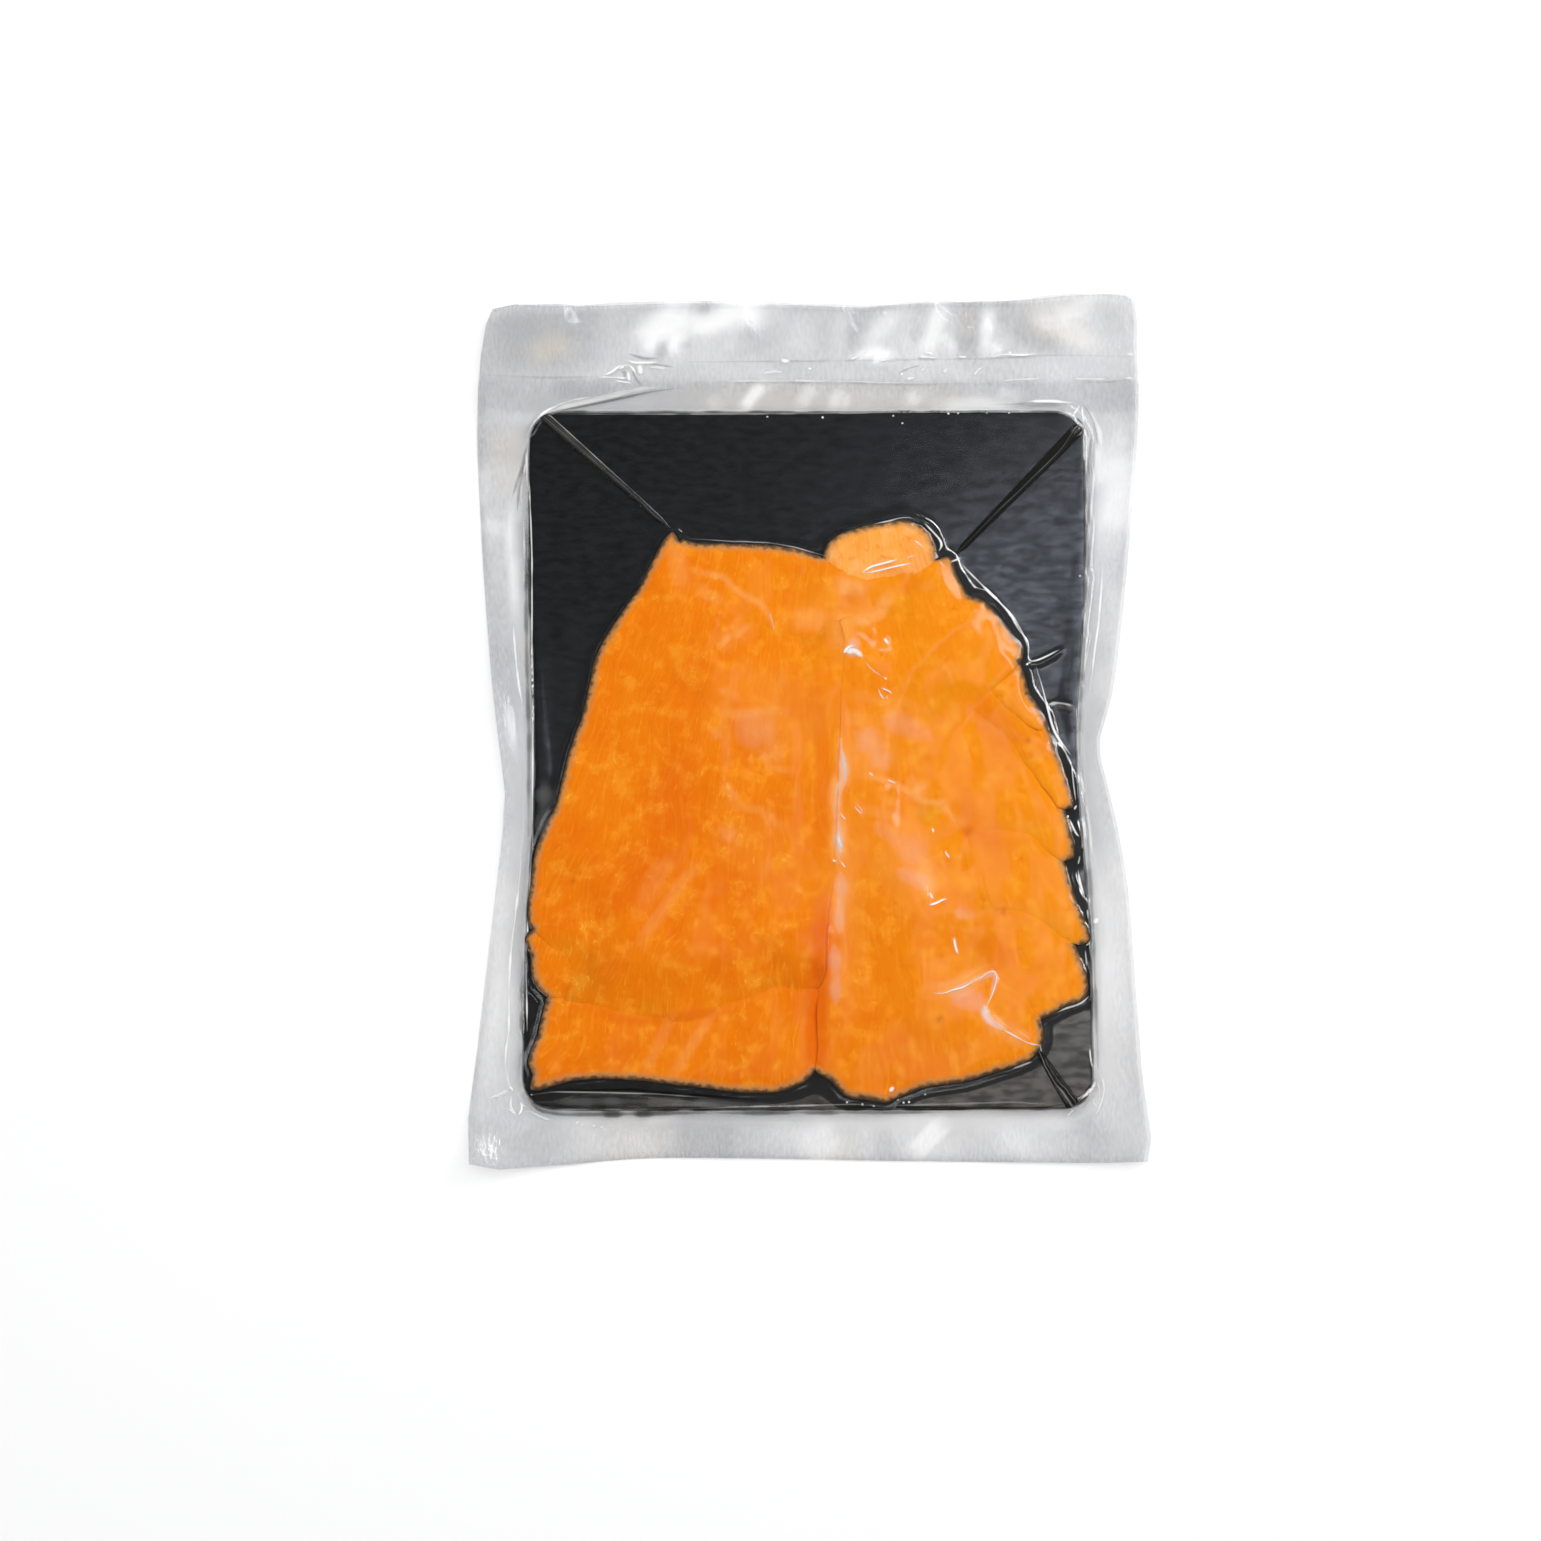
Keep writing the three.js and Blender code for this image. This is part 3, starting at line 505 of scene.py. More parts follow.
def outline_of(node):
    """The outer edge of a packed slab seen from above, as points in order round its middle. A wall
    with another one well outside it, such as the end of a pleat, is left out."""
    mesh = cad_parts[node].data
    found = set()
    for face in mesh.polygons:
        outward = face.normal.to_2d().dot(face.center.to_2d().normalized())
        if abs(face.normal.z) < 0.02 and outward > 0.4:
            corners = (mesh.vertices[v].co for v in face.vertices)
            found.update((round(corner.x, 6), round(corner.y, 6)) for corner in corners)
    points = np.array(sorted(found, key=lambda p: math.atan2(p[1], p[0])))
    turn, far = np.arctan2(points[:, 1], points[:, 0]), np.hypot(*points.T)
    beside = np.abs(turn[:, None] - turn[None, :]) < math.radians(3)
    return points[far > 0.9 * np.max(np.where(beside, far[None, :], 0), axis=1)]


# Materials


def wire(node, links):
    """Gives a node's inputs, by name or number, values, colours or other nodes' outputs."""
    for key, value in links.items():
        socket = node.inputs[key]
        if isinstance(value, bpy.types.NodeSocket):
            node.id_data.links.new(value, socket)
        elif socket.type == "RGBA":
            socket.default_value = (*value[:3], 1)
        else:
            socket.default_value = value


def add(material, kind, links, output=0, **settings):
    """Adds a shader node with its settings and links, and gives one of its outputs."""
    made = material.node_tree.nodes.new("ShaderNode" + kind)
    for name, value in settings.items():
        setattr(made, name, value)
    wire(made, links)
    return made.outputs[output]


def new_material(name, **constants):
    """A material with one Principled shader, its constants set, and that shader."""
    material = bpy.data.materials.new(name)
    material.use_nodes = True
    shader = material.node_tree.nodes["Principled BSDF"]
    wire(shader, {key.replace("_", " "): value for key, value in constants.items()})
    return material, shader


def lay_over(material, colour, layers):
    """Lays tints over a colour, each on the last. A layer is where it shows, as an output, then the two
    levels of that output between which it comes up and its cover at each, or None where the output
    is itself the cover, and its tint."""
    for cover, levels, tint in layers:
        if levels:
            links = {0: cover, **dict(enumerate(levels, 1))}
            cover = add(material, "MapRange", links, interpolation_type="SMOOTHSTEP")
        colour = add(material, "Mix", {0: cover, 6: colour, 7: tint}, 2, data_type="RGBA")
    return colour


def salmon_flesh(name, colours, base, pale, lighter):
    """Cold smoked salmon, thinly sliced along the muscle: moist, slightly see-through orange flesh
    with fine pale fibres, soft fat lines and a greyer, thinner edge that is darkest at its rim. It is
    lighter towards the upper right, partly its own tone and partly painted sheen; some fat lines paint
    sheen, and the deeper places and the dark rim partly paint shade in grooves, under slice edges and
    at the slice's wall. Fibres are 0.7 mm wide here, as the real ones would be too fine to show."""
    material, shader = new_material(
        name,
        Roughness=0.45,
        IOR=1.38,
        Subsurface_Weight=0.15,
        Subsurface_Radius=(1.0, 0.35, 0.1),
        Subsurface_Scale=0.8 * MM,
        Specular_IOR_Level=0.06,
    )
    grain = add(material, "Attribute", {}, "Vector", attribute_name="grain")
    place = add(material, "TexCoord", {}, "Object")
    light, thin, *marks = (
        add(material, "Attribute", {}, "Fac", attribute_name=mark)
        for mark in ("light", "thin", "blush", "fat_and_sheen", "crease", "spot")
    )
    fibre, hairs, clouds, patches, blotches, ragged, curls = (
        add(
            material,
            "TexNoise",
            {"Vector": at, "Scale": scale, "Detail": detail, "Roughness": rough, "Distortion": bend},
        )
        for at, scale, detail, rough, bend in (
            (grain, 0.6, 4, 0.7, 0),
            (grain, 1.5, 2, 0.5, 1.6),
            (place, 1 / (14 * MM), 4, 0.5, 0),
            (place, 1 / (5 * MM), 2, 0.5, 0),
            (place, 1 / (3 * MM), 5, 0.65, 0),
            (place, 1 / (1.6 * MM), 2, 0.5, 0),
            (place, 1 / (6 * MM), 1, 0.5, 2.5),
        )
    )
    soft = {"interpolation_type": "SMOOTHSTEP"}
    apart = add(material, "Math", {0: curls, 1: 0.5}, operation="SUBTRACT")
    apart = add(material, "Math", {0: apart}, operation="ABSOLUTE")
    thread = add(material, "MapRange", {0: apart, 1: 0.012, 2: 0.002}, **soft)
    in_patch = add(material, "MapRange", {0: patches, 1: 0.52, 2: 0.66, 4: 0.8}, **soft)
    thread = add(material, "Math", {0: thread, 1: in_patch}, operation="MULTIPLY")
    ragged = add(material, "MapRange", {0: ragged, 1: 0.35, 2: 0.65, 3: -0.1, 4: 0.1}, **soft)
    thin = add(material, "Math", {0: thin, 1: ragged}, operation="ADD")
    tints = (colours.blush, colours.fat_and_sheen, colours.salmon_deep_and_shade, colours.spot)
    layers = (
        (clouds, (0.3, 0.6, 0.3, 1), base),
        # Lighter towards the upper right: partly the flesh's own tone, partly painted sheen
        (light, None, pale),
        (patches, (0.46, 0.72, 0, 0.3), lighter),
        (blotches, (0.45, 0.3, 0, 0.5), colours.salmon_deep),
        (fibre, (0.5, 0.7, 0, 0.2), lighter),
        (fibre, (0.48, 0.3, 0, 0.25), colours.salmon_deep),
        (hairs, (0.62, 0.72, 0, 0.45), colours.hair),
        (thread, None, colours.hair),
        # The fat lines partly paint sheen, and the deeper places partly paint shade in grooves and under
        # slice edges
        *((mark, None, tint) for mark, tint in zip(marks, tints)),
        (thin, (0.25, 0.8, 0, 0.75), colours.thin_edge),
        # Darkest at the very rim: partly the slice's see-through rim, partly painted shade of its wall
        (thin, (0.68, 1.1, 0, 0.9), colours.rim_see_through_and_shade),
    )
    relief = add(material, "Math", {0: patches, 1: 0.6, 2: fibre}, operation="MULTIPLY_ADD")
    bump = add(material, "Bump", {"Height": relief, "Strength": 0.35, "Distance": 0.12 * MM})
    wire(shader, {"Base Color": lay_over(material, colours.salmon_deep, layers), "Normal": bump})
    return material


def laminated_card(colours):
    """Solid board with a black gloss laminate: near black, smooth, with the faint orange peel that
    the laminate takes from the board's fibres and a few light specks."""
    material, shader = new_material("black_laminated_card", IOR=1.5)
    place = add(material, "TexCoord", {}, "Object")
    streaks = add(material, "Mapping", {"Vector": place, "Scale": (0.45, 1, 1)})
    mottle = add(material, "TexNoise", {"Vector": streaks, "Scale": 1 / (2.2 * MM), "Detail": 5.0})
    specks = add(material, "TexVoronoi", {"Vector": place, "Scale": 1 / (3.5 * MM)}, "Distance")
    layers = (
        (mottle, (0.35, 0.7, 0, 1), colours.card_light),
        (specks, (0.06, 0.03, 0, 0.25), colours.speck),
    )
    links = {0: mottle, 1: 0.3, 2: 0.7, 3: 0.28, 4: 0.42}
    rough = add(material, "MapRange", links, interpolation_type="SMOOTHSTEP")
    bump = add(material, "Bump", {"Height": mottle, "Strength": 0.8, "Distance": 0.16 * MM})
    colour = lay_over(material, colours.card, layers)
    wire(shader, {"Base Color": colour, "Roughness": rough, "Normal": bump})
    return material


def pouch_film(name, milk_and_shade, tint_and_highlight):
    """Co-extruded nylon and polyethylene pouch film: clear and glossy where it lies tight, milky
    where the two layers lie on each other, with a fine slanted emboss. A film shows little of its
    own colour, so its share of mirror and of haze make its alpha: the mirror share is carried as
    metal, because alpha would thin a plain gloss to nothing. Its gloss is that of one face of the
    film where it clings to wet fish, and of both faces and the laminate over the card."""
    material, shader = new_material(name, Roughness=0.15, IOR=FILM_INDEX)
    place = add(material, "TexCoord", {}, "Object")
    # Its haze and tint paint shade and highlights in places, besides the film's milkiness and creamy cast
    haze_and_painted_light, gloss, patchy, tint, emboss = (
        add(material, "Attribute", {}, "Fac", attribute_name=look)
        for look in ("haze_and_painted_light", "gloss", "patchy", "tint", "emboss")
    )
    along = {"Vector": place, "Scale": (0.4, 1, 1)}
    fine = (1 / (0.9 * MM), 1 / (2.4 * MM), 1)
    slant = {"Vector": place, "Rotation": (0, 0, math.radians(38)), "Scale": fine}
    along, slant = (add(material, "Mapping", links) for links in (along, slant))
    touching = add(material, "TexNoise", {"Vector": along, "Scale": 1 / (2.4 * MM), "Detail": 4.0})
    pattern = add(material, "TexNoise", {"Vector": slant, "Scale": 1.0, "Detail": 1.0})
    peel = add(material, "TexNoise", {"Vector": place, "Scale": 1 / (3 * MM), "Detail": 3.0})
    soft = {"interpolation_type": "SMOOTHSTEP"}
    touching = add(material, "MapRange", {0: touching, 1: 0.35, 2: 0.65, 3: -1.0, 4: 1.0}, **soft)
    pattern = add(material, "MapRange", {0: pattern, 1: 0.3, 2: 0.7, 3: -0.1, 4: 0.1}, **soft)
    pattern = add(material, "Math", {0: pattern, 1: emboss}, operation="MULTIPLY")
    haze_and_painted_light = add(material, "Math", {0: haze_and_painted_light, 1: pattern, 2: haze_and_painted_light}, operation="MULTIPLY_ADD")

    # Fresnel turns the index over on a back face, so it is turned over there first
    behind = add(material, "NewGeometry", {}, "Backfacing")
    index = add(
        material, "Math", {0: behind, 1: 1 / FILM_INDEX - FILM_INDEX, 2: FILM_INDEX}, operation="MULTIPLY_ADD"
    )
    facing = add(material, "Fresnel", {"IOR": index})
    gloss = add(material, "Math", {0: patchy, 1: touching, 2: gloss}, operation="MULTIPLY_ADD")
    shine = add(material, "Math", {0: facing, 1: gloss}, operation="MULTIPLY")
    alpha = add(material, "Math", {0: haze_and_painted_light, 1: shine}, operation="ADD", use_clamp=True)
    metal = add(material, "Math", {0: alpha, 1: 0.0001}, operation="ADD")
    metal = add(material, "Math", {0: shine, 1: metal}, operation="DIVIDE")
    colour = lay_over(material, milk_and_shade, ((tint, None, tint_and_highlight), (metal, None, (1, 1, 1))))
    relief = add(material, "Math", {0: peel, 1: 0.5}, operation="MULTIPLY")
    relief = add(material, "Math", {0: pattern, 1: 4.5, 2: relief}, operation="MULTIPLY_ADD")
    bump = add(material, "Bump", {"Height": relief, "Strength": 0.5, "Distance": 0.09 * MM})
    wire(shader, {"Alpha": alpha, "Metallic": metal, "Base Color": colour, "Normal": bump})
    return material


# Fish


def fibre_frame(x, y):
    """Places across and along the fibres, which fan out from a point past the top of the pack."""
    dx, dy = x - FIBRES_MEET_AT[0] * MM, FIBRES_MEET_AT[1] * MM - y
    along = np.hypot(dx, dy)
    return np.arctan2(dx, dy) * FIBRES_MEET_AT[1] * MM * 1.2, along


def strokes(x, y, lines):
    """How strongly soft painted strokes cover each place. A stroke is its width, strength and line."""
    cover = np.zeros(x.shape)
    for width, strength, *points in lines:
        far, along = line_distance(x, y, np.array(points) * MM)
        ends = np.clip(4 * np.minimum(along, 1 - along) + 0.25, 0, 1)
        cover = np.maximum(cover, strength * ends * smooth_step(width * MM, width * MM * 0.25, far))
    return cover


# Soft fat lines, some of them painted sheen on the middle ridge and along the film's creases, blushes,
# deeper places, partly painted shade in the grooves between slices and under their edges, and dark
# spots of the flesh: their width, strength and line
FAT_AND_SHEEN_LINES = (
    (2.6, 0.14, (-39.7, -87.3), (-48.6, -105.1)),
    (2.4, 0.17, (-27.8, -86.3), (-40.7, -106.6)),
    (2.7, 0.2, (-31.8, -42.3), (-37.7, -48.7), (-43.7, -57.6), (-49.1, -65.5)),
    (4.1, 0.19, (-38.7, -40.8), (-43.7, -44.7), (-46.6, -50.7), (-49.1, -56.6)),
    (3.4, 0.37, (10.1, -8.6), (10.7, -11.6), (11.1, -15), (10.6, -20)),
    (2.8, 0.5, (9.3, -16), (8.3, -20), (8, -23), (8.3, -26.9)),
    (3.4, 0.5, (9.8, -29.9), (9.3, -33.9), (9.1, -36.8), (9.6, -39.8), (9.8, -41.8)),
    (5, 0.25, (10.3, -45.7), (10.6, -50.7), (8.8, -55.6), (8.3, -60.6), (9.8, -63.6)),
    (6, 0.12, (8.8, -84.3), (8.3, -75.4), (7.8, -66.5)),
    (4, 0.4, (31.6, -19.5), (34.5, -21.5)),
    (4, 0.35, (34.5, -42.8), (35, -47.7), (36.5, -51.7)),
    (
        1.5, 0.3, (-33.8, 45.8), (-28.8, 44.9), (-24.9, 43.9), (-22.4, 40.9), (-18.9, 38.4), (-14, 35.9),
        (-11.5, 32.5), (-10, 29),
    ),
    (4, 0.2, (-39.7, 56.2), (-39.2, 50.3), (-38.2, 44.4), (-37.7, 40.4)),
    (2.7, 0.19, (-32.8, 41.4), (-29.8, 38.4), (-25.4, 36.4)),
    (5, 0.25, (-4.1, 31.5), (1.9, 31), (5.8, 30.5)),
    (3, 0.4, (11.8, 30.3), (17.7, 31.2), (21.7, 33), (23.2, 35.9), (25.1, 39.4)),
    (4, 0.4, (8.8, 41.4), (14.7, 40.6), (16.7, 42.4)),
    (4.5, 0.3, (-20.4, 28), (-18.9, 26.5)),
    (4, 0.35, (-25.4, 25), (-23.9, 23.6)),
    (6, 0.25, (11.8, 34.5), (10.8, 27.5), (10.3, 20.6)),
    (3.4, 0.19, (10.8, 1.1), (16.7, 0.1)),
    (
        1.4, 0.35, (16.7, -16.5), (23.6, -18), (27.6, -19.5), (32.6, -22.5), (35.5, -24), (40.5, -24.4),
        (43.4, -28.9), (45.9, -30.9),
    ),
    (2.4, 0.12, (11.8, 8.2), (21.7, 6.2), (29.6, 5.2), (37.5, 1.8)),
    (2.4, 0.14, (13.7, -25.9), (23.6, -27.9), (33.5, -31.9), (37.5, -38.8)),
    (2.5, 0.19, (47.9, 4.3), (49.9, 1.8), (53.3, -0.2), (57.3, -2.7), (60.3, -6.1)),
    (3.4, 0.25, (-25.8, -34.3), (-23.9, -33.4), (-21.4, -34.8)),
    (2.2, 0.22, (-24.9, -18.5), (-22.9, -21), (-20.9, -24.9)),
    (2.5, 0.22, (-28.3, -4.2), (-24.9, -3.2)),
    (2.2, 0.22, (-27.8, 3.8), (-21.9, 1.8), (-14, 2.8), (-6.1, 2.8)),
    (2, 0.19, (-26.8, 8.7), (-23.9, 9), (-20.9, 6.7)),
    (1.7, 0.19, (-15, -8.1), (-11, -14.1), (-4.1, -15)),
    (2, 0.15, (-23.9, -24.9), (-14, -26.9), (-6.1, -32.9)),
    (2.4, 0.11, (-19.9, 18.6), (-24.9, 2.8), (-23.9, -13.1)),
    (2, 0.09, (-6.1, 18.6), (-10, 4.8), (-12, -11.1)),
    (4, 0.35, (35.5, -80.4), (44.4, -79.4), (52.4, -74.4)),
    (4, 0.3, (51.4, -86.3), (55.3, -90.3), (65.2, -95.2)),
)
BLUSHES = (
    (16, 0.35, (-21.9, 4.8), (-8, 4.8), (5.8, -7.1)),
    (12, 0.45, (13.7, 0.8), (19.7, -9.1), (23.6, -17)),
    (8, 0.3, (9.8, -24.9), (11.8, -50.7), (11.8, -80.4)),
    (13, 0.45, (19.7, -36.8), (29.6, -44.7), (37.5, -56.6)),
    (14, 0.2, (-19.9, -30.9), (-10, -44.7)),
    (9, 0.3, (-0.1, 32.5), (19.7, 38.4)),
    (9, 0.25, (43.4, -66.5), (49.4, -78.4)),
)
DEEP_FLESH_AND_SHADE = (
    (5, 0.75, (2, -106.1), (2.9, -83.3), (3.8, -66.5), (4.3, -50.7)),
    (5, 0.4, (-3.1, -64.5), (11.8, -67.5)),
    (3.5, 0.35, (1.9, 16.6), (3.8, -1.2), (4.8, -17), (3.8, -40.8)),
    (7, 0.4, (49.4, 6.7), (57.3, -1.2), (62.3, -9.1)),
    (6, 0.3, (44.4, -21), (49.4, -28.9), (59.3, -38.8)),
    (9, 0.25, (-33.8, 18.6), (-37.7, -11.1), (-41.7, -30.9)),
    (11, 0.35, (-37.7, -23), (-41.7, -40.8), (-55.5, -60.6)),
    (9, 0.3, (-23.9, -40.8), (-33.8, -60.6)),
    (8, 0.25, (-6.1, 12.7), (-2.1, 4.8), (1.9, 0.8)),
    (7, 0.35, (51.4, -62.6), (59.3, -75.4)),
    (4, 0.3, (11.8, 35.4), (16.7, 39.4)),
    (4, 0.3, (29.6, 38.4), (33.5, 44.4)),
    (3, 0.3, (19.7, 47.3), (31.6, 44.4)),
    (2.2, 0.45, (-65.4, -84.3), (-57.5, -88.3), (-49.6, -89.3), (-35.7, -87.3), (-21.9, -86.3)),
    (3.5, 0.4, (46.4, -30.9), (49.4, -34.8)),
    (4, 0.15, (9.8, 46.3), (-10, 48.3), (-25.8, 50.3)),
)
SPOTS = (
    (1.6, 0.65, (57.6, -56.5), (58.4, -57)),
    (1.8, 0.6, (38.3, -88.3), (39.1, -89.1)),
    (1.4, 0.5, (-69.7, -47.3), (-69.1, -48)),
    (2, 0.4, (47.4, -32.4), (48.4, -33.4)),
    (1.2, 0.5, (65.2, -5.1), (66.6, -6.1)),
)


def nearest_edge(edge, co, values=None):
    """How far each vertex is from an edge, seen from above, and the mean of the values of the edge's
    ten nearest places."""
    if not len(edge):
        return np.ones(len(co)), np.zeros(len(co))
    tree = KDTree(len(edge))
    for k, place in enumerate(edge):
        tree.insert((place[0], place[1], 0), k)
    tree.balance()
    if values is None:
        return np.array([tree.find((point[0], point[1], 0))[2] for point in co]), None
    found = [tree.find_n((point[0], point[1], 0), 10) for point in co]
    means = [np.mean(values[[place[1] for place in near]]) for near in found]
    return np.array([near[0][2] for near in found]), np.array(means)


def edges_of(piece, others, mates):
    """The walls of a slice, sorted by what lies beside them: bare card, a lower slice with how far
    down it is, or a mate in the same layer."""
    co, normal = vertices_of(piece), normals_of(piece)
    wall = np.hypot(normal[:, 0], normal[:, 1]) > 0.75
    at, way = co[wall][:, :2], normal[wall][:, :2]
    beside = highest(others, *(at + way * BESIDE).T)
    down = highest([piece], *(at - way * BESIDE).T) - beside
    free = (beside < 0) & (highest(others, *(at + way * 4 * BESIDE).T) < 0)
    level = highest(mates, *(at + way * BESIDE).T) > 0
    lower = ~level & (beside >= 0) & (down > STEP_DOWN)
    return co[wall][free], co[wall][lower], down[lower], co[wall][level]


def fine_copy(node, sizes):
    """A remeshed and softened copy of one packed slice."""
    piece = copy_of(node, "salmon_" + node)
    modify(piece, "REMESH", mode="VOXEL", voxel_size=sizes.fish_grain, use_smooth_shade=True)
    modify(piece, "SMOOTH", factor=0.5, iterations=10)
    return piece


def seam_height(co):
    """The top that the two main slices share at each place, also in the cut between them."""
    mains = [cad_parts[node] for node in MAIN_SLICES]
    return np.max([highest(mains, co[:, 0] + step * MM, co[:, 1]) for step in (-0.4, 0.4)], axis=0)


def shape_slice(piece, edges, sizes, seed, filled):
    """Thins a slice towards the edges that lie on another, pushes it up against one beside it, with
    the cut between them filled if told so, and gives it the low relief of muscle and an uneven edge."""
    co, normal = vertices_of(piece), normals_of(piece)
    free, level = nearest_edge(edges[0], co)[0], nearest_edge(edges[3], co)[0]
    lower, down = nearest_edge(edges[1], co, edges[2])
    step = (RIM_UP + RIM_SUNK) * smooth_step(16 * MM, 3 * MM, free) - RIM_SUNK
    sink = np.maximum(down - step, 0) * smooth_step(THINNED_OVER, -1 * MM, lower)
    sink *= smooth_step(-8 * MM, 5 * MM, level - lower)
    under, top = (ray_heights(piece, co[:, 0], co[:, 1], upward) for upward in (True, False))
    thick = top - under
    share = np.clip((co[:, 2] - under) / np.maximum(thick, 0.2 * MM), 0, 1)
    low = np.minimum(under, top - sink - RIM_THICK)
    inner = low + share * (top - sink - low)
    co[:, 2] = np.where(thick > RIM_THICK, inner, co[:, 2] - sink)

    across, along = fibre_frame(co[:, 0], co[:, 1])
    muscle = 0.16 * bumps(across, along / 5, 4 * MM, seed)
    relief = muscle + 0.06 * bumps(across, along / 3, 1.8 * MM, seed + 1)
    relief += 0.22 * bumps(co[:, 0], co[:, 1], 9 * MM, seed + 2)
    co[:, 2] += relief * MM * smooth_step(0.3, 0.8, normal[:, 2])
    loose = smooth_step(0.8 * MM, 2 * MM, level)
    if filled:
        full = seam_height(co) - sink + muscle * MM
        fill = (1 - loose) * smooth_step(-0.1, 0.1, normal[:, 2])
        co[:, 2] += fill * np.maximum(full - co[:, 2], 0)
    outward = 0.6 + loose * 0.14 * bumps(co[:, 0], co[:, 1], 4.5 * MM, seed + 3)
    co[:, :2] += normal[:, :2] * outward[:, None] * MM
    put_vertices(piece, co)

    x, y = co[:, 0], co[:, 1]
    wavy = across + 1.3 * MM * bumps(across, along / 2, 5 * MM, seed + 5)
    wavy += 2.5 * MM * bumps(across, along, 19 * MM, seed + 6)
    depth = np.full(len(co), seed * 3.7)
    marks = {"fat_and_sheen": FAT_AND_SHEEN_LINES, "blush": BLUSHES, "spot": SPOTS, "crease": DEEP_FLESH_AND_SHADE}
    looks = {mark: strokes(x, y, lines) for mark, lines in marks.items()}
    looks["grain"] = np.stack([wavy / sizes.fibre_width, along / sizes.fibre_length, depth], 1)
    looks["thin"] = np.clip(1.1 - free / (2.6 * MM), 0, 1.1)
    # Lighter towards the upper right: partly the flesh's own tone, partly painted sheen
    looks["light"] = 0.6 * smooth_step(-45 * MM, 65 * MM, x + 0.35 * y)
    for look, values in looks.items():
        put_attribute(piece, look, values)


def settle(piece, above, rims):
    """Presses a slice down where others lie on it, so that its hidden part leaves no print in them.
    Under their thin rims it stays up, so that they run out into it."""
    co = vertices_of(piece)
    cover = highest(above, co[:, 0], co[:, 1]) - HIDDEN_UNDER
    inside = smooth_step(3 * MM, 7 * MM, nearest_edge(rims, co)[0])
    co[:, 2] -= np.where(cover > 0, inside * np.maximum(co[:, 2] - cover, 0), 0)
    put_vertices(piece, co)


class SALMONPACK_OT_slices(bpy.types.Operator):
    """Make the slices of smoked salmon"""

    bl_idname = "salmonpack.slices"
    bl_label = "Salmon slices"

    def execute(self, context):
        sizes, colours = context.scene.salmonpack_sizes, context.scene.salmonpack_colours
        back = (colours.salmon, colours.salmon_tone_and_sheen, colours.hair)
        belly = (colours.salmon_belly, colours.salmon_belly, colours.salmon_pale)
        flesh = salmon_flesh("cold_smoked_salmon", colours, *back)
        pale = salmon_flesh("cold_smoked_salmon_belly", colours, *belly)
        pieces = [fine_copy(node, sizes) for node in SLICES]
        mates = {"slice_lower_left": ["slice_right"], "slice_left": ["slice_right"]}
        mates["slice_right"] = ["slice_left", "slice_lower_left"]
        rims = []
        for k, (node, piece) in enumerate(zip(SLICES, pieces)):
            others = [other for other in pieces if other is not piece]
            beside = [pieces[SLICES.index(mate)] for mate in mates.get(node, [])]
            is_main = node in MAIN_SLICES
            edges = edges_of(piece, others, beside)
            rims.append(edges[1])
            shape_slice(piece, edges, sizes, 0 if is_main else 11 * k, is_main)
            is_pale = node in PALE_SLICES
            finish_piece(piece, pale if is_pale else flesh, "salmon_pale" if is_pale else "salmon", node)
        for k, piece in enumerate(pieces[:-2]):
            settle(piece, pieces[k + 1 :], np.concatenate(rims[k + 1 :]))
        return {"FINISHED"}


# Card


class SALMONPACK_OT_card(bpy.types.Operator):
    """Make the black laminated card"""

    bl_idname = "salmonpack.card"
    bl_label = "Black card"

    def execute(self, context):
        sizes, colours = context.scene.salmonpack_sizes, context.scene.salmonpack_colours
        piece = copy_of("card", "black_card")
        modify(piece, "REMESH", mode="VOXEL", voxel_size=sizes.card_grain, use_smooth_shade=True)
        modify(piece, "SMOOTH", factor=0.5, iterations=4)
        modify(piece, "DECIMATE", ratio=MOST_FACES / len(piece.data.polygons) / 2)
        finish_piece(piece, laminated_card(colours), "card_black", "card")
        return {"FINISHED"}


# Film


def side_points(outline, corners, first, second):
    """The outline's points from one corner to the next, going anticlockwise."""
    start, end = corners[first], corners[second]
    order = [(start + k) % len(outline) for k in range((end - start) % len(outline) + 1)]
    return outline[order]


def along_side(points, share):
    """Places at shares of the way along a side, on a smooth curve through its points."""
    lengths = np.concatenate([[0], np.cumsum(np.hypot(*np.diff(points, axis=0).T))])
    at = share * lengths[-1]
    return np.stack([np.interp(at, lengths, points[:, 0]), np.interp(at, lengths, points[:, 1])], -1)


def span_shares(places, steps):
    """Shares from 0 to 1 from the first place to the last, with a step of its own between each two."""
    edges = [0.0]
    for length, step in zip(np.diff(places), steps):
        count = max(1, round(length / step))
        edges.extend(edges[-1] + length * np.arange(1, count + 1) / count)
    return np.array(edges) / edges[-1]


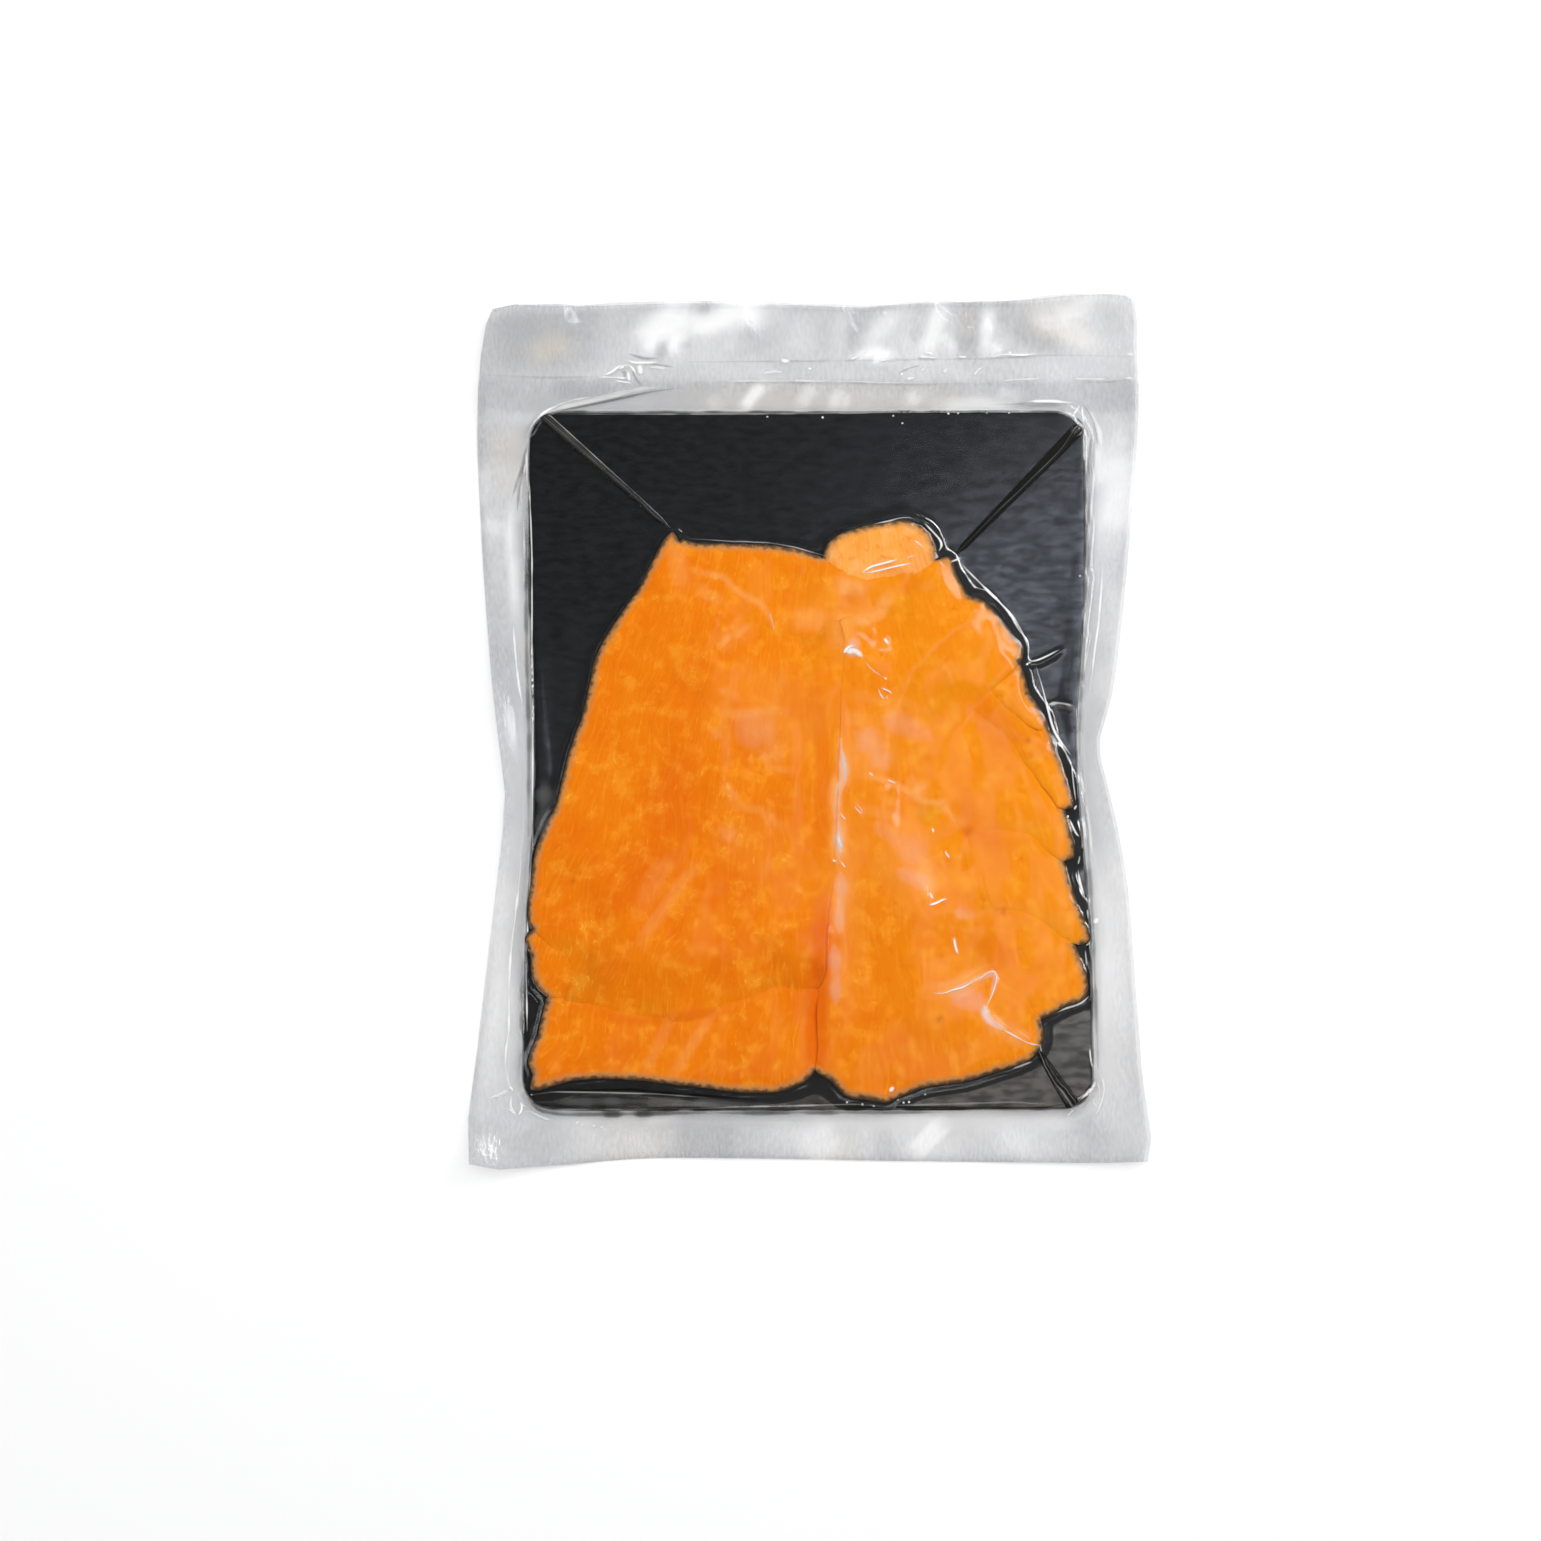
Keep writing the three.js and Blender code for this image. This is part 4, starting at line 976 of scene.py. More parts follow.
@functools.lru_cache
def film_grid(step, border_step):
    """Places over the whole pouch, in rows that bend with its edges: finer over the card."""
    outline = outline_of("pouch")
    corners = [int(np.argmax(outline @ np.array(way))) for way in ((-1, -1), (1, -1), (1, 1), (-1, 1))]
    bottom = side_points(outline, corners, 0, 1)
    right = side_points(outline, corners, 1, 2)
    top = side_points(outline, corners, 2, 3)[::-1]
    left = side_points(outline, corners, 3, 0)[::-1]
    (card_low, card_high), (low, high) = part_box("card"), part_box("pouch")
    fish_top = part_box("slice_top_flap")[1].y + 2 * MM
    steps = (border_step, step, border_step)
    u = span_shares((low.x, card_low.x, card_high.x, high.x), steps)
    v = span_shares((low.y, card_low.y, fish_top, high.y), steps)
    across, up = np.meshgrid(u, v, indexing="ij")
    along_bottom, along_top = (along_side(side, u)[:, None, :] for side in (bottom, top))
    along_left, along_right = (along_side(side, v)[None, :, :] for side in (left, right))
    s, t = across[..., None], up[..., None]
    flat = (1 - t) * along_bottom + t * along_top + (1 - s) * along_left + s * along_right
    flat -= (1 - s) * (1 - t) * bottom[0] + s * (1 - t) * bottom[-1] + (1 - s) * t * top[0] + s * t * top[-1]
    return flat[..., 0], flat[..., 1]


def soften(z, rounds):
    """Evens out a field of heights, its edge too."""
    for _ in range(rounds):
        padded = np.pad(z, 1, mode="edge")
        z = (padded[:-2, 1:-1] + padded[2:, 1:-1] + padded[1:-1, :-2] + padded[1:-1, 2:] + 4 * z) / 8
    return z


def spread(z, reach):
    """Each place takes the highest of those around it."""
    rows, columns = z.shape
    for _ in range(reach):
        padded = np.pad(z, 1, mode="edge")
        z = np.max([padded[i : rows + i, j : columns + j] for i in range(3) for j in range(3)], axis=0)
    return z


def pull_tight(start, below, reach, spacing, rounds):
    """Film drawn down by vacuum: it bridges what is hollow and lies on what stands up. The larger
    reach is, the wider it bridges."""
    wide, long = spacing
    weight_x, weight_y = 1 / wide[:, None] ** 2, 1 / long[None, :] ** 2
    total = 2 * (weight_x + weight_y)
    z = start.copy()
    for _ in range(rounds):
        middle = weight_x * (z[:-2, 1:-1] + z[2:, 1:-1]) + weight_y * (z[1:-1, :-2] + z[1:-1, 2:])
        z[1:-1, 1:-1] = np.maximum((middle - 1 / reach[1:-1, 1:-1]) / total, below[1:-1, 1:-1])
    return z


def sheet_mesh(name, x, y, z):
    """A grid primitive moved to rows of places."""
    bpy.ops.object.select_all(action="DESELECT")
    bpy.ops.mesh.primitive_grid_add(x_subdivisions=x.shape[0] - 1, y_subdivisions=x.shape[1] - 1, size=2)
    piece = bpy.context.active_object
    piece.name = piece.data.name = name
    put_vertices(piece, np.stack([x.T.ravel(), y.T.ravel(), z.T.ravel()], -1))
    only(piece)
    bpy.ops.object.shade_smooth()
    return piece


@functools.lru_cache
def film_fields(step, border_step):
    """The grid with the heights of the back film and of the contents, where there is fish, and how
    far each place is outside the card."""
    x, y = film_grid(step, border_step)
    just_inside = 0.9985
    under = ray_heights(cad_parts["pouch"], x * just_inside, y * just_inside, upward=True)
    under = soften(np.nan_to_num(under, nan=0.0), 40)
    card_line = outline_of("card")
    card_line = np.concatenate([card_line, card_line[:1]])
    away = line_distance(x, y, card_line)[0]
    on_card = ray_heights(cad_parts["card"], x, y)
    on_fish = highest([bpy.data.objects["salmon_" + node] for node in SLICES], x, y)
    outside = np.where(np.isnan(on_card), away, 0.0)
    return x, y, under, np.fmax(on_card, on_fish), on_fish > 0, outside


def front_film(sizes):
    """Heights of the front film: tight over the fish and card, on the back film round them, wavy
    and part open in the lip above the weld."""
    x, y, under, contents, on_fish, outside = film_fields(sizes.film_step, sizes.border_step)
    above_weld = smooth_step((WELD_TO + 1) * MM, (WELD_TO + 12) * MM, y)
    in_from_side = smooth_step(0, 22 * MM, np.minimum(x - x[:1, :], x[-1:, :] - x))
    wave = bumps(x, y / 2.5, 11 * MM, 3) + 0.6 * bumps(x + y / 2, y, 6 * MM, 4)
    lip = above_weld * in_from_side * (1.2 + 1.7 * wave)
    welded = smooth_step((WELD_FROM - 1) * MM, WELD_FROM * MM, y)
    welded *= smooth_step((WELD_TO + 1) * MM, WELD_TO * MM, y)
    ripple = 0.35 * bumps(x, y, 7 * MM, 5) + 0.5 * bumps(x, y, 16 * MM, 6)
    ripple *= smooth_step(3 * MM, 9 * MM, outside)
    puckers = np.exp(-(((y / MM - PUCKERS_AT) / 2.6) ** 2)) * (0.35 + 0.35 * bumps(x, y * 0.2, 3.1 * MM, 7))
    apart = 0.14 + np.maximum(lip, 0) + (1 - welded) * np.maximum(0.3 + ripple, 0) + puckers
    below = np.maximum(spread(contents + sizes.film_clearance, 1), under + FILM_GAP + apart * MM)

    # It bridges widest over the fish, wider on the right than on the left, and wide along the bottom
    fish = soften(on_fish.astype(float), 3)
    reach = 1.0 + 1.8 * smooth_step(0, 50 * MM, x) * smooth_step(-85 * MM, -65 * MM, y)
    reach += 2.2 * smooth_step(-98 * MM, -110 * MM, y) * smooth_step(30 * MM, 5 * MM, x)
    reach += 7 * smooth_step(0.9, 1, soften(fish, 30))
    wide = np.gradient(x[:, x.shape[1] // 2])[1:-1]
    long = np.gradient(y[y.shape[0] // 2, :])[1:-1]
    z = soften(pull_tight(below, below, reach * MM, (wide, long), 700), 1)
    for height, *line in CREASES:
        far, along = line_distance(x, y, np.array(line) * MM)
        taper = np.clip(3 * np.minimum(along, 1 - along) + 0.35, 0, 1)
        z += height * taper * np.exp(-((far / (0.85 * MM)) ** 2)) * MM
    return x, y, z, smooth_step(0.3, 0.9, fish), outside


# Where the border film is clearer, partly as painted highlights, milkier, partly as painted shade, or warmer
# than round it: its width, strength and line
CLEAR_AND_HIGHLIGHT_PLACES = (
    (8, 1, (-51, 116), (-46, 121), (-40, 125), (-38, 130)),
    (4.5, 1, (-47, 114.5), (-47.5, 119)),
    (5, 1, (-40, 114), (-39, 122)),
    (6, 1, (-38, 124), (-30, 124), (-22, 126.8), (-11, 127.8)),
    (3.5, 0.4, (-28, 121), (-20, 123.5), (-10, 125)),
    (3, 0.25, (-24, 115), (-23, 119)),
    (6, 0.2, (-2, 114), (0, 124)),
    (3.5, 0.25, (10, 114), (10.5, 127)),
    (4, 0.5, (15, 114.5), (20, 119), (25, 124), (28, 129)),
    (2.8, 1, (14, 112.8), (18, 114.6), (22, 114.9), (25, 113.7), (27, 112.6)),
    (2.5, 1, (20, 113), (24, 112.8)),
    (4, 0.75, (35.5, 114), (39, 121), (41, 130)),
    (2.2, 0.7, (40, 119.3), (44, 118), (45.5, 114.5)),
    (3.6, 0.75, (54.5, 114), (54.8, 121), (56, 129)),
    (3, 0.8, (57, 115), (59, 117)),
    (4, 0.45, (70, 128), (71.5, 124.5), (77, 121.5), (84, 119), (88, 116)),
    (3.5, 0.6, (75, 127), (78, 125.8), (84, 127.5), (88, 130)),
    (3, 0.85, (-19.5, 96.5), (-17.5, 99.5), (-15, 103), (-12, 104)),
    (3.4, 0.5, (-2, 98), (0.5, 102), (3, 103.8)),
    (2.6, 0.5, (8.5, 97), (8.5, 100), (11, 103)),
    (2.2, 0.4, (11.5, 97.5), (12.5, 102)),
    (3.6, 0.5, (31, 99), (34, 101.5)),
    (4, 0.3, (-30, 97.5), (-26, 100)),
    (3.2, 0.6, (40, 98), (55, 98.5), (64, 97.5)),
    (3.4, 0.35, (58, 103), (66, 100)),
    (5, 0.25, (-81, 125), (-80, 119), (-83, 114)),
    (3.5, 0.4, (-98.5, 80), (-99, 65)),
    (2.6, 0.75, (-90, 66), (-89, 55), (-88.6, 40), (-88.5, 32)),
    (6, 0.45, (-94, 63), (-96, 58)),
    (8, 0.45, (-90, -35), (-93, -60), (-95, -90), (-96, -110)),
    (6, 0.3, (-97, -104), (-98, -118)),
    (2.5, 0.7, (88.5, 90), (89, 80), (88.6, 72)),
    (8, 0.7, (94, 86), (95, 70), (92, 57)),
    (7, 0.4, (92, 88), (97, 84)),
    (6, 0.3, (93, 45), (90, 10)),
    (9, 0.4, (88, -35), (91, -60), (92, -100)),
    (9, 0.45, (2, -119), (3, -125), (8, -129)),
    (10, 0.75, (33, -121), (38, -126)),
    (1.6, 0.5, (-48, -117.6), (-38, -117)),
    (6, 0.25, (55, -122), (66, -127)),
)
MILKY_AND_SHADE_PLACES = (
    (17, 0.95, (-97, 118), (-78, 120), (-60, 121)),
    (8, 0.2, (-90, 122), (-86, 124)),
    (5, 0.5, (-78, 103), (-66, 103), (-58, 103)),
    (2.4, 1, (-44.3, 113), (-44.3, 118)),
    (2.8, 0.8, (-37.3, 118), (-36.7, 115)),
    (3.8, 1, (-33, 129), (-29, 128)),
    (7, 0.2, (-22, 118), (-12, 116)),
    (5, 0.45, (15.5, 114), (16, 129)),
    (4, 0.3, (34, 117), (35, 129)),
    (5.5, 0.7, (49.5, 113.5), (50, 129)),
    (5, 0.35, (60, 129), (64, 121)),
    (5.5, 0.7, (67, 127), (66, 121), (72, 118.5), (79, 117.5)),
    (7, 0.25, (94, 128), (95, 118)),
    (2, 0.7, (86.4, 90), (86.2, 70), (85.6, 40), (84.3, 10)),
    (3, 0.3, (90.5, 45), (90, 30), (88.5, 15)),
    (6, 0.3, (85.5, -5), (86.5, -25), (88, -40)),
    (5, 0.5, (-92, 45), (-91, 20), (-88, 0)),
    (3, 0.5, (-87, 63), (-87.5, 50)),
    (9, 0.45, (-90, 95), (-93, 80)),
    (14, 0.35, (-82, -119), (-76, -130)),
    (12, 0.55, (-40, -122), (-20, -124)),
    (3.5, 0.3, (-60, -119), (0, -118)),
    (4.5, 0.3, (22, -120), (23, -130)),
    (12, 0.3, (78, -118), (86, -130)),
)
WARM_PLACES = (
    (5.5, 0.9, (-84, 113.5), (-76, 116), (-72, 116)),
    (7, 0.6, (-92, 92), (-91, 80), (-89, 72)),
    (5, 0.9, (70, 128), (71.5, 124.5), (77, 121.5), (84, 119), (88, 116)),
    (4, 0.8, (75, 127), (78, 125.8), (84, 127.5)),
    (6, 0.5, (-40, 100), (0, 100.5), (55, 99.5)),
    (14, 0.5, (-60, -125), (-42, -127)),
    (7, 0.5, (5, -127), (14, -127)),
    (4, 0.5, (48, 120), (50, 128)),
    (1.5, 0.6, (-84.5, 30), (-84.5, 12)),
)


def border_haze_and_painted_light(x, y, outside):
    """How milky the film is: clear on the card, greyest beside the card's wall and greyer along the outer
    edge, both painted shade, and uneven where the two layers cling to each other, with painted
    highlights where it is cleared and painted shade where it is milkier."""
    in_border = smooth_step(0.1 * MM, 0.7 * MM, outside)
    # Greyer within a few millimetres of the card's wall, below its top: painted shade
    haze_and_painted_light = 0.178 + 0.09 * smooth_step(2.4 * MM, 0.6 * MM, outside) * smooth_step(96 * MM, 90 * MM, y)
    slanted = bumps(x * 0.8 + y * 0.6, (y * 0.8 - x * 0.6) / 3, 6 * MM, 8)
    haze_and_painted_light += 0.022 * slanted + 0.018 * bumps(x, y, 17 * MM, 9)
    # Greyer towards the outer edge, painted shade, and greyer from the card's top to the weld
    rim = np.minimum.reduce([x - x[:1], x[-1:] - x, y - y[:, :1], y[:, -1:] - y])
    haze_and_painted_light += 0.05 * smooth_step(4 * MM, 0, rim) + 0.12 * smooth_step(1.1 * MM, 0, rim)
    haze_and_painted_light += 0.1 * smooth_step(95 * MM, 97 * MM, y) * smooth_step(107 * MM, 104 * MM, y)
    # Cleared places paint highlights and milkier places paint shade, both partly real
    haze_and_painted_light *= 1 - 0.92 * strokes(x, y, CLEAR_AND_HIGHLIGHT_PLACES)
    haze_and_painted_light += 0.16 * strokes(x, y, MILKY_AND_SHADE_PLACES)
    return 0.004 + in_border * haze_and_painted_light


class SALMONPACK_OT_film(bpy.types.Operator):
    """Make the front and back film of the pouch"""

    bl_idname = "salmonpack.film"
    bl_label = "Pouch film"

    def execute(self, context):
        sizes, colours = context.scene.salmonpack_sizes, context.scene.salmonpack_colours
        film = pouch_film("clear_pouch_film", colours.haze_and_painted_light, colours.haze_warm)
        x, y, z, over_fish, outside = front_film(sizes)
        front = sheet_mesh("film_front", x, y, z)
        under = film_fields(sizes.film_step, sizes.border_step)[2]
        every, other = (slice(None), slice(None)), (slice(None, None, 2), slice(None, None, 2))
        back = sheet_mesh("film_back", x[other], y[other], under[other] + FILM_GAP)
        on_card = 2.25 + 0.6 * smooth_step(-20 * MM, 75 * MM, x) * smooth_step(-110 * MM, -50 * MM, y)
        on_fish = 0.3 + 0.3 * smooth_step(-20 * MM, 20 * MM, x)
        off_card = smooth_step(0, 2 * MM, outside)
        looks = {
            "haze_and_painted_light": border_haze_and_painted_light(x, y, outside),
            "emboss": smooth_step(4 * MM, 8 * MM, outside),
            "gloss": on_card - (on_card - 1.3) * off_card - (on_card - on_fish) * over_fish,
            "patchy": 1.1 * (1 - over_fish) * smooth_step(1 * MM, 0, outside),
            "tint": strokes(x, y, WARM_PLACES),
        }
        for piece, pick in ((front, every), (back, other)):
            for name, values in looks.items():
                put_attribute(piece, name, values[pick].T.ravel())
        only(back)
        in_edit(bpy.ops.mesh.flip_normals)
        finish_piece(front, film, "film", "pouch")
        finish_piece(back, film, "film", "pouch")
        return {"FINISHED"}


class SALMONPACK_OT_pleats(bpy.types.Operator):
    """Make the narrow pleats that the front film gathers into at the card's corners"""

    bl_idname = "salmonpack.pleats"
    bl_label = "Pleats"

    def execute(self, context):
        colours = context.scene.salmonpack_colours
        folded = pouch_film("folded_pouch_film", colours.fold, colours.crease)
        front = bpy.data.objects["film_front"]
        for k, (name, (corner, tip, half, lines)) in enumerate(PLEATS.items()):
            piece = pleat_piece(name, np.array(corner), np.array(tip), half, lines, front, k)
            finish_piece(piece, folded, "film", "pouch")
        return {"FINISHED"}


def pleat_piece(name, corner, tip, half, lines, front, seed):
    """A bundle of fine folds from the card's corner to the tip of the fish, lying on the film, near black
    with painted shade and with painted highlight lines along it.
    """
    folds, per_fold = 4, 8
    run = np.linspace(0, 1, 90)[:, None]
    side = np.linspace(-1, 1, folds * per_fold + 1)[None, :]
    way = tip - corner
    across = np.array([way[1], -way[0]]) / np.hypot(*way)
    width = half * (1 - 0.55 * run) * smooth_step(-0.06, 0.05, run) * smooth_step(1.04, 0.9, run)
    drift = 0.35 * bumps(run * 10, run * 0, 2.3, seed + 40) * (1 - side**2)
    x = (corner[0] + run * way[0] + across[0] * width * (side + drift)) * MM
    y = (corner[1] + run * way[1] + across[1] * width * (side + drift)) * MM
    base = ray_heights(front, x, y)
    fold = np.abs(np.sin(side * folds * math.pi / 2 + 0.6 * run)) ** 0.8
    crown = np.sqrt(np.clip(1 - side**2, 0, 1))
    taper = smooth_step(0, 0.08, run) * smooth_step(1, 0.93, run)
    height = taper * crown * (0.35 + 0.75 * fold * (0.8 + 0.2 * bumps(run * 20, side * 3, 1.0, seed + 50)))
    piece = sheet_mesh(name, x, y, base + (height - 0.03) * MM)
    shade = 0.75 + 0.35 * bumps(run * 20, side * 2, 2.0, seed + 60)
    # The near opaque dark film is painted shade of the folds, and the light lines are painted highlights
    light = sum(bright * np.exp(-(((side - place) / wide) ** 2)) for place, wide, bright in lines)
    looks = {"haze_and_painted_light": 0.92 * smooth_step(0, 0.45, crown), "gloss": 0.1, "tint": 0.9 * light * shade}
    for look, values in looks.items():
        put_attribute(piece, look, (values + 0 * x).T.ravel())
    return piece


# Painted highlight and shade lines along the film's fine creases


def smooth_line(points, step=0.5):
    """Places at about equal steps on a line through points, rounded at its bends."""
    points = np.asarray(points, float)
    lengths = np.concatenate([[0], np.cumsum(np.hypot(*np.diff(points, axis=0).T))])
    at = np.linspace(0, lengths[-1], max(7, round(lengths[-1] / step)))
    line = np.stack([np.interp(at, lengths, points[:, 0]), np.interp(at, lengths, points[:, 1])], -1)
    for _ in range(8):
        line[1:-1] = (line[:-2] + line[2:] + 2 * line[1:-1]) / 4
    return line


def glints(places, rise):
    """Short bright lines that start at some places and rise a little to the right."""
    return [(0.4, 1, 0.8, (x, y), (x + 0.7, y + rise)) for x, y in places]


def ribbons(name, lines, ground):
    """Narrow strips that lie on a surface and thin out to their edges and ends, joined into one piece:
    painted highlights and painted shade. Each is half its width, how bright it is, how much it covers,
    and its line, in millimetres."""
    side = np.linspace(-1, 1, 7)[None, :]
    strips = []
    for half, bright, cover, *points in lines:
        line = smooth_line(points)
        way = np.gradient(line, axis=0)
        way /= np.hypot(*way.T)[:, None]
        run = np.linspace(0, 1, len(line))[:, None]
        taper = np.clip(5 * np.minimum(run, 1 - run), 0, 1)
        uneven = np.clip(0.88 + 0.35 * bumps(run * len(line), run * 0, 9.0, len(strips)), 0.45, 1.1)
        out = half * (0.3 + 0.7 * taper) * uneven * side
        x, y = line[:, :1] - way[:, 1:] * out, line[:, 1:] + way[:, :1] * out
        cover = np.minimum(cover * uneven, 1) * (0.4 + 0.6 * taper) * (1 - side**2)
        strips.append((x * MM, y * MM, cover, bright))
    x, y = (np.concatenate([strip[k].ravel() for strip in strips]) for k in (0, 1))
    heights = np.nan_to_num(ray_heights(ground, x, y), nan=0.5 * MM) + CREASE_GAP
    ends = np.cumsum([strip[0].size for strip in strips])[:-1]
    pieces = []
    for (x, y, cover, bright), z in zip(strips, np.split(heights, ends)):
        piece = sheet_mesh(name, x, y, z.reshape(x.shape))
        put_attribute(piece, "haze_and_painted_light", cover.T.ravel())
        put_attribute(piece, "tint", np.full(cover.size, bright))
        pieces.append(piece)
    for piece in pieces:
        piece.select_set(True)
    bpy.ops.object.join()
    made = bpy.context.active_object
    made.name = made.data.name = name
    return made


class SALMONPACK_OT_creases(bpy.types.Operator):
    """Make the painted highlight and shade lines along the fine creases of the front film"""

    bl_idname = "salmonpack.creases"
    bl_label = "Crease glints and shade"

    def execute(self, context):
        colours = context.scene.salmonpack_colours
        creased = pouch_film("crease_glint_and_shade_film", colours.fold, colours.crease)
        rim = outline_of("card") / MM
        arcs = [np.roll(rim, len(rim) // 2 * k, 0)[: 5 * len(rim) // 8] for k in (0, 1)]
        # Dark lines round the card's rim: painted shade
        lines = [(0.55, 0.02, 0.75, *arc) for arc in arcs]
        lines += [*CARD_LINES, *glints(CARD_GLINTS, 0.1), *RIM_LINES, *BORDER_LINES]
        lines += [*glints(BORDER_GLINTS, 0.2), *FISH_LINES]
        made = ribbons("film_crease_glints_and_shade", lines, bpy.data.objects["film_front"])
        finish_piece(made, creased, "film", "pouch")
        return {"FINISHED"}


# Stage


def softbox(name, place, size, watts, tint=(1, 1, 1), glossy=True):
    """A studio light of some width and height at a place in metres, turned to the pack. Without
    glossy it lights the pack evenly and gives no highlight."""
    lamp = bpy.data.lights.new(name, "AREA")
    lamp.shape, lamp.energy, lamp.color = "RECTANGLE", watts, tint
    lamp.size, lamp.size_y = size
    obj = bpy.data.objects.new(name, lamp)
    bpy.context.scene.collection.objects.link(obj)
    obj.location = place
    obj.rotation_euler = Vector(place).to_track_quat("Z", "Y").to_euler()
    obj.visible_glossy = glossy
    return obj


class SALMONPACK_OT_stage(bpy.types.Operator):
    """Make the floor, the lights and the camera"""

    bl_idname = "salmonpack.stage"
    bl_label = "Stage"

    def execute(self, context):
        scene, colours = context.scene, context.scene.salmonpack_colours
        bpy.ops.object.select_all(action="DESELECT")
        bpy.ops.mesh.primitive_plane_add(size=6, location=(0, 0, -0.3 * MM))
        floor = context.active_object
        floor.name = "floor"
        paper = new_material("white_paper", Base_Color=colours.floor, Roughness=0.9, Specular_IOR_Level=0.1)
        floor.data.materials.append(paper[0])
        softbox("light_key", (0.61, 0.47, 0.69), (0.8, 0.2), 4.2)
        softbox("light_sheen", (0.38, 0.23, 1.15), (0.38, 0.6), 0.68, (0.85, 0.93, 1.12))
        softbox("light_near", (0.15, -0.16, 1.15), (0.5, 0.32), 0.36, (1.1, 1, 0.87))
        softbox("light_rim", (-0.75, -0.4, 0.66), (0.5, 0.2), 0.6)
        softbox("light_fill", (-0.1, 0.1, 1.5), (1.6, 1.6), 25.0, glossy=False)
        world = bpy.data.worlds.new("studio")
        world.use_nodes = True
        world.node_tree.nodes["Background"].inputs[0].default_value = (0.035, 0.036, 0.038, 1)
        scene.world = world
        scene.view_settings.view_transform = "Standard"
        lens = bpy.data.cameras.new("camera")
        lens.lens, lens.sensor_width = 66.2, 36
        camera = bpy.data.objects.new("camera", lens)
        scene.collection.objects.link(camera)
        tilt, away = math.radians(7), 0.85
        camera.location = (-0.011, -0.014 - away * math.sin(tilt), away * math.cos(tilt))
        camera.rotation_euler = (tilt, 0, 0)
        scene.camera = camera
        return {"FINISHED"}


# Settings and the panel


def size_property(name, description, size):
    """A length setting with its default in metres."""
    return bpy.props.FloatProperty(name=name, description=description, default=size, unit="LENGTH")


class SALMONPACK_PG_sizes(bpy.types.PropertyGroup):
    """Sizes that a user would change"""

    fish_grain: size_property("Fish grain", "Step of the fish mesh", 0.75 * MM)
    card_grain: size_property("Card grain", "Step of the card mesh before it is thinned out", 0.6 * MM)
    fibre_width: size_property("Fibre width", "Width of a bundle of muscle fibres", 0.7 * MM)
    fibre_length: size_property("Fibre length", "Length of a bundle of muscle fibres", 9 * MM)
    film_step: size_property("Film step", "Step of the film mesh over the fish", 0.68 * MM)
    border_step: size_property("Border step", "Step of the film mesh in the border", 1.1 * MM)
    film_clearance: size_property("Film clearance", "Gap between film and contents", 0.1 * MM)


def colour_property(name, description, code):
    """A colour setting with its default as a hex code."""
    return bpy.props.FloatVectorProperty(
        name=name, description=description, subtype="COLOR", size=3, min=0, max=1, default=linear(code)
    )


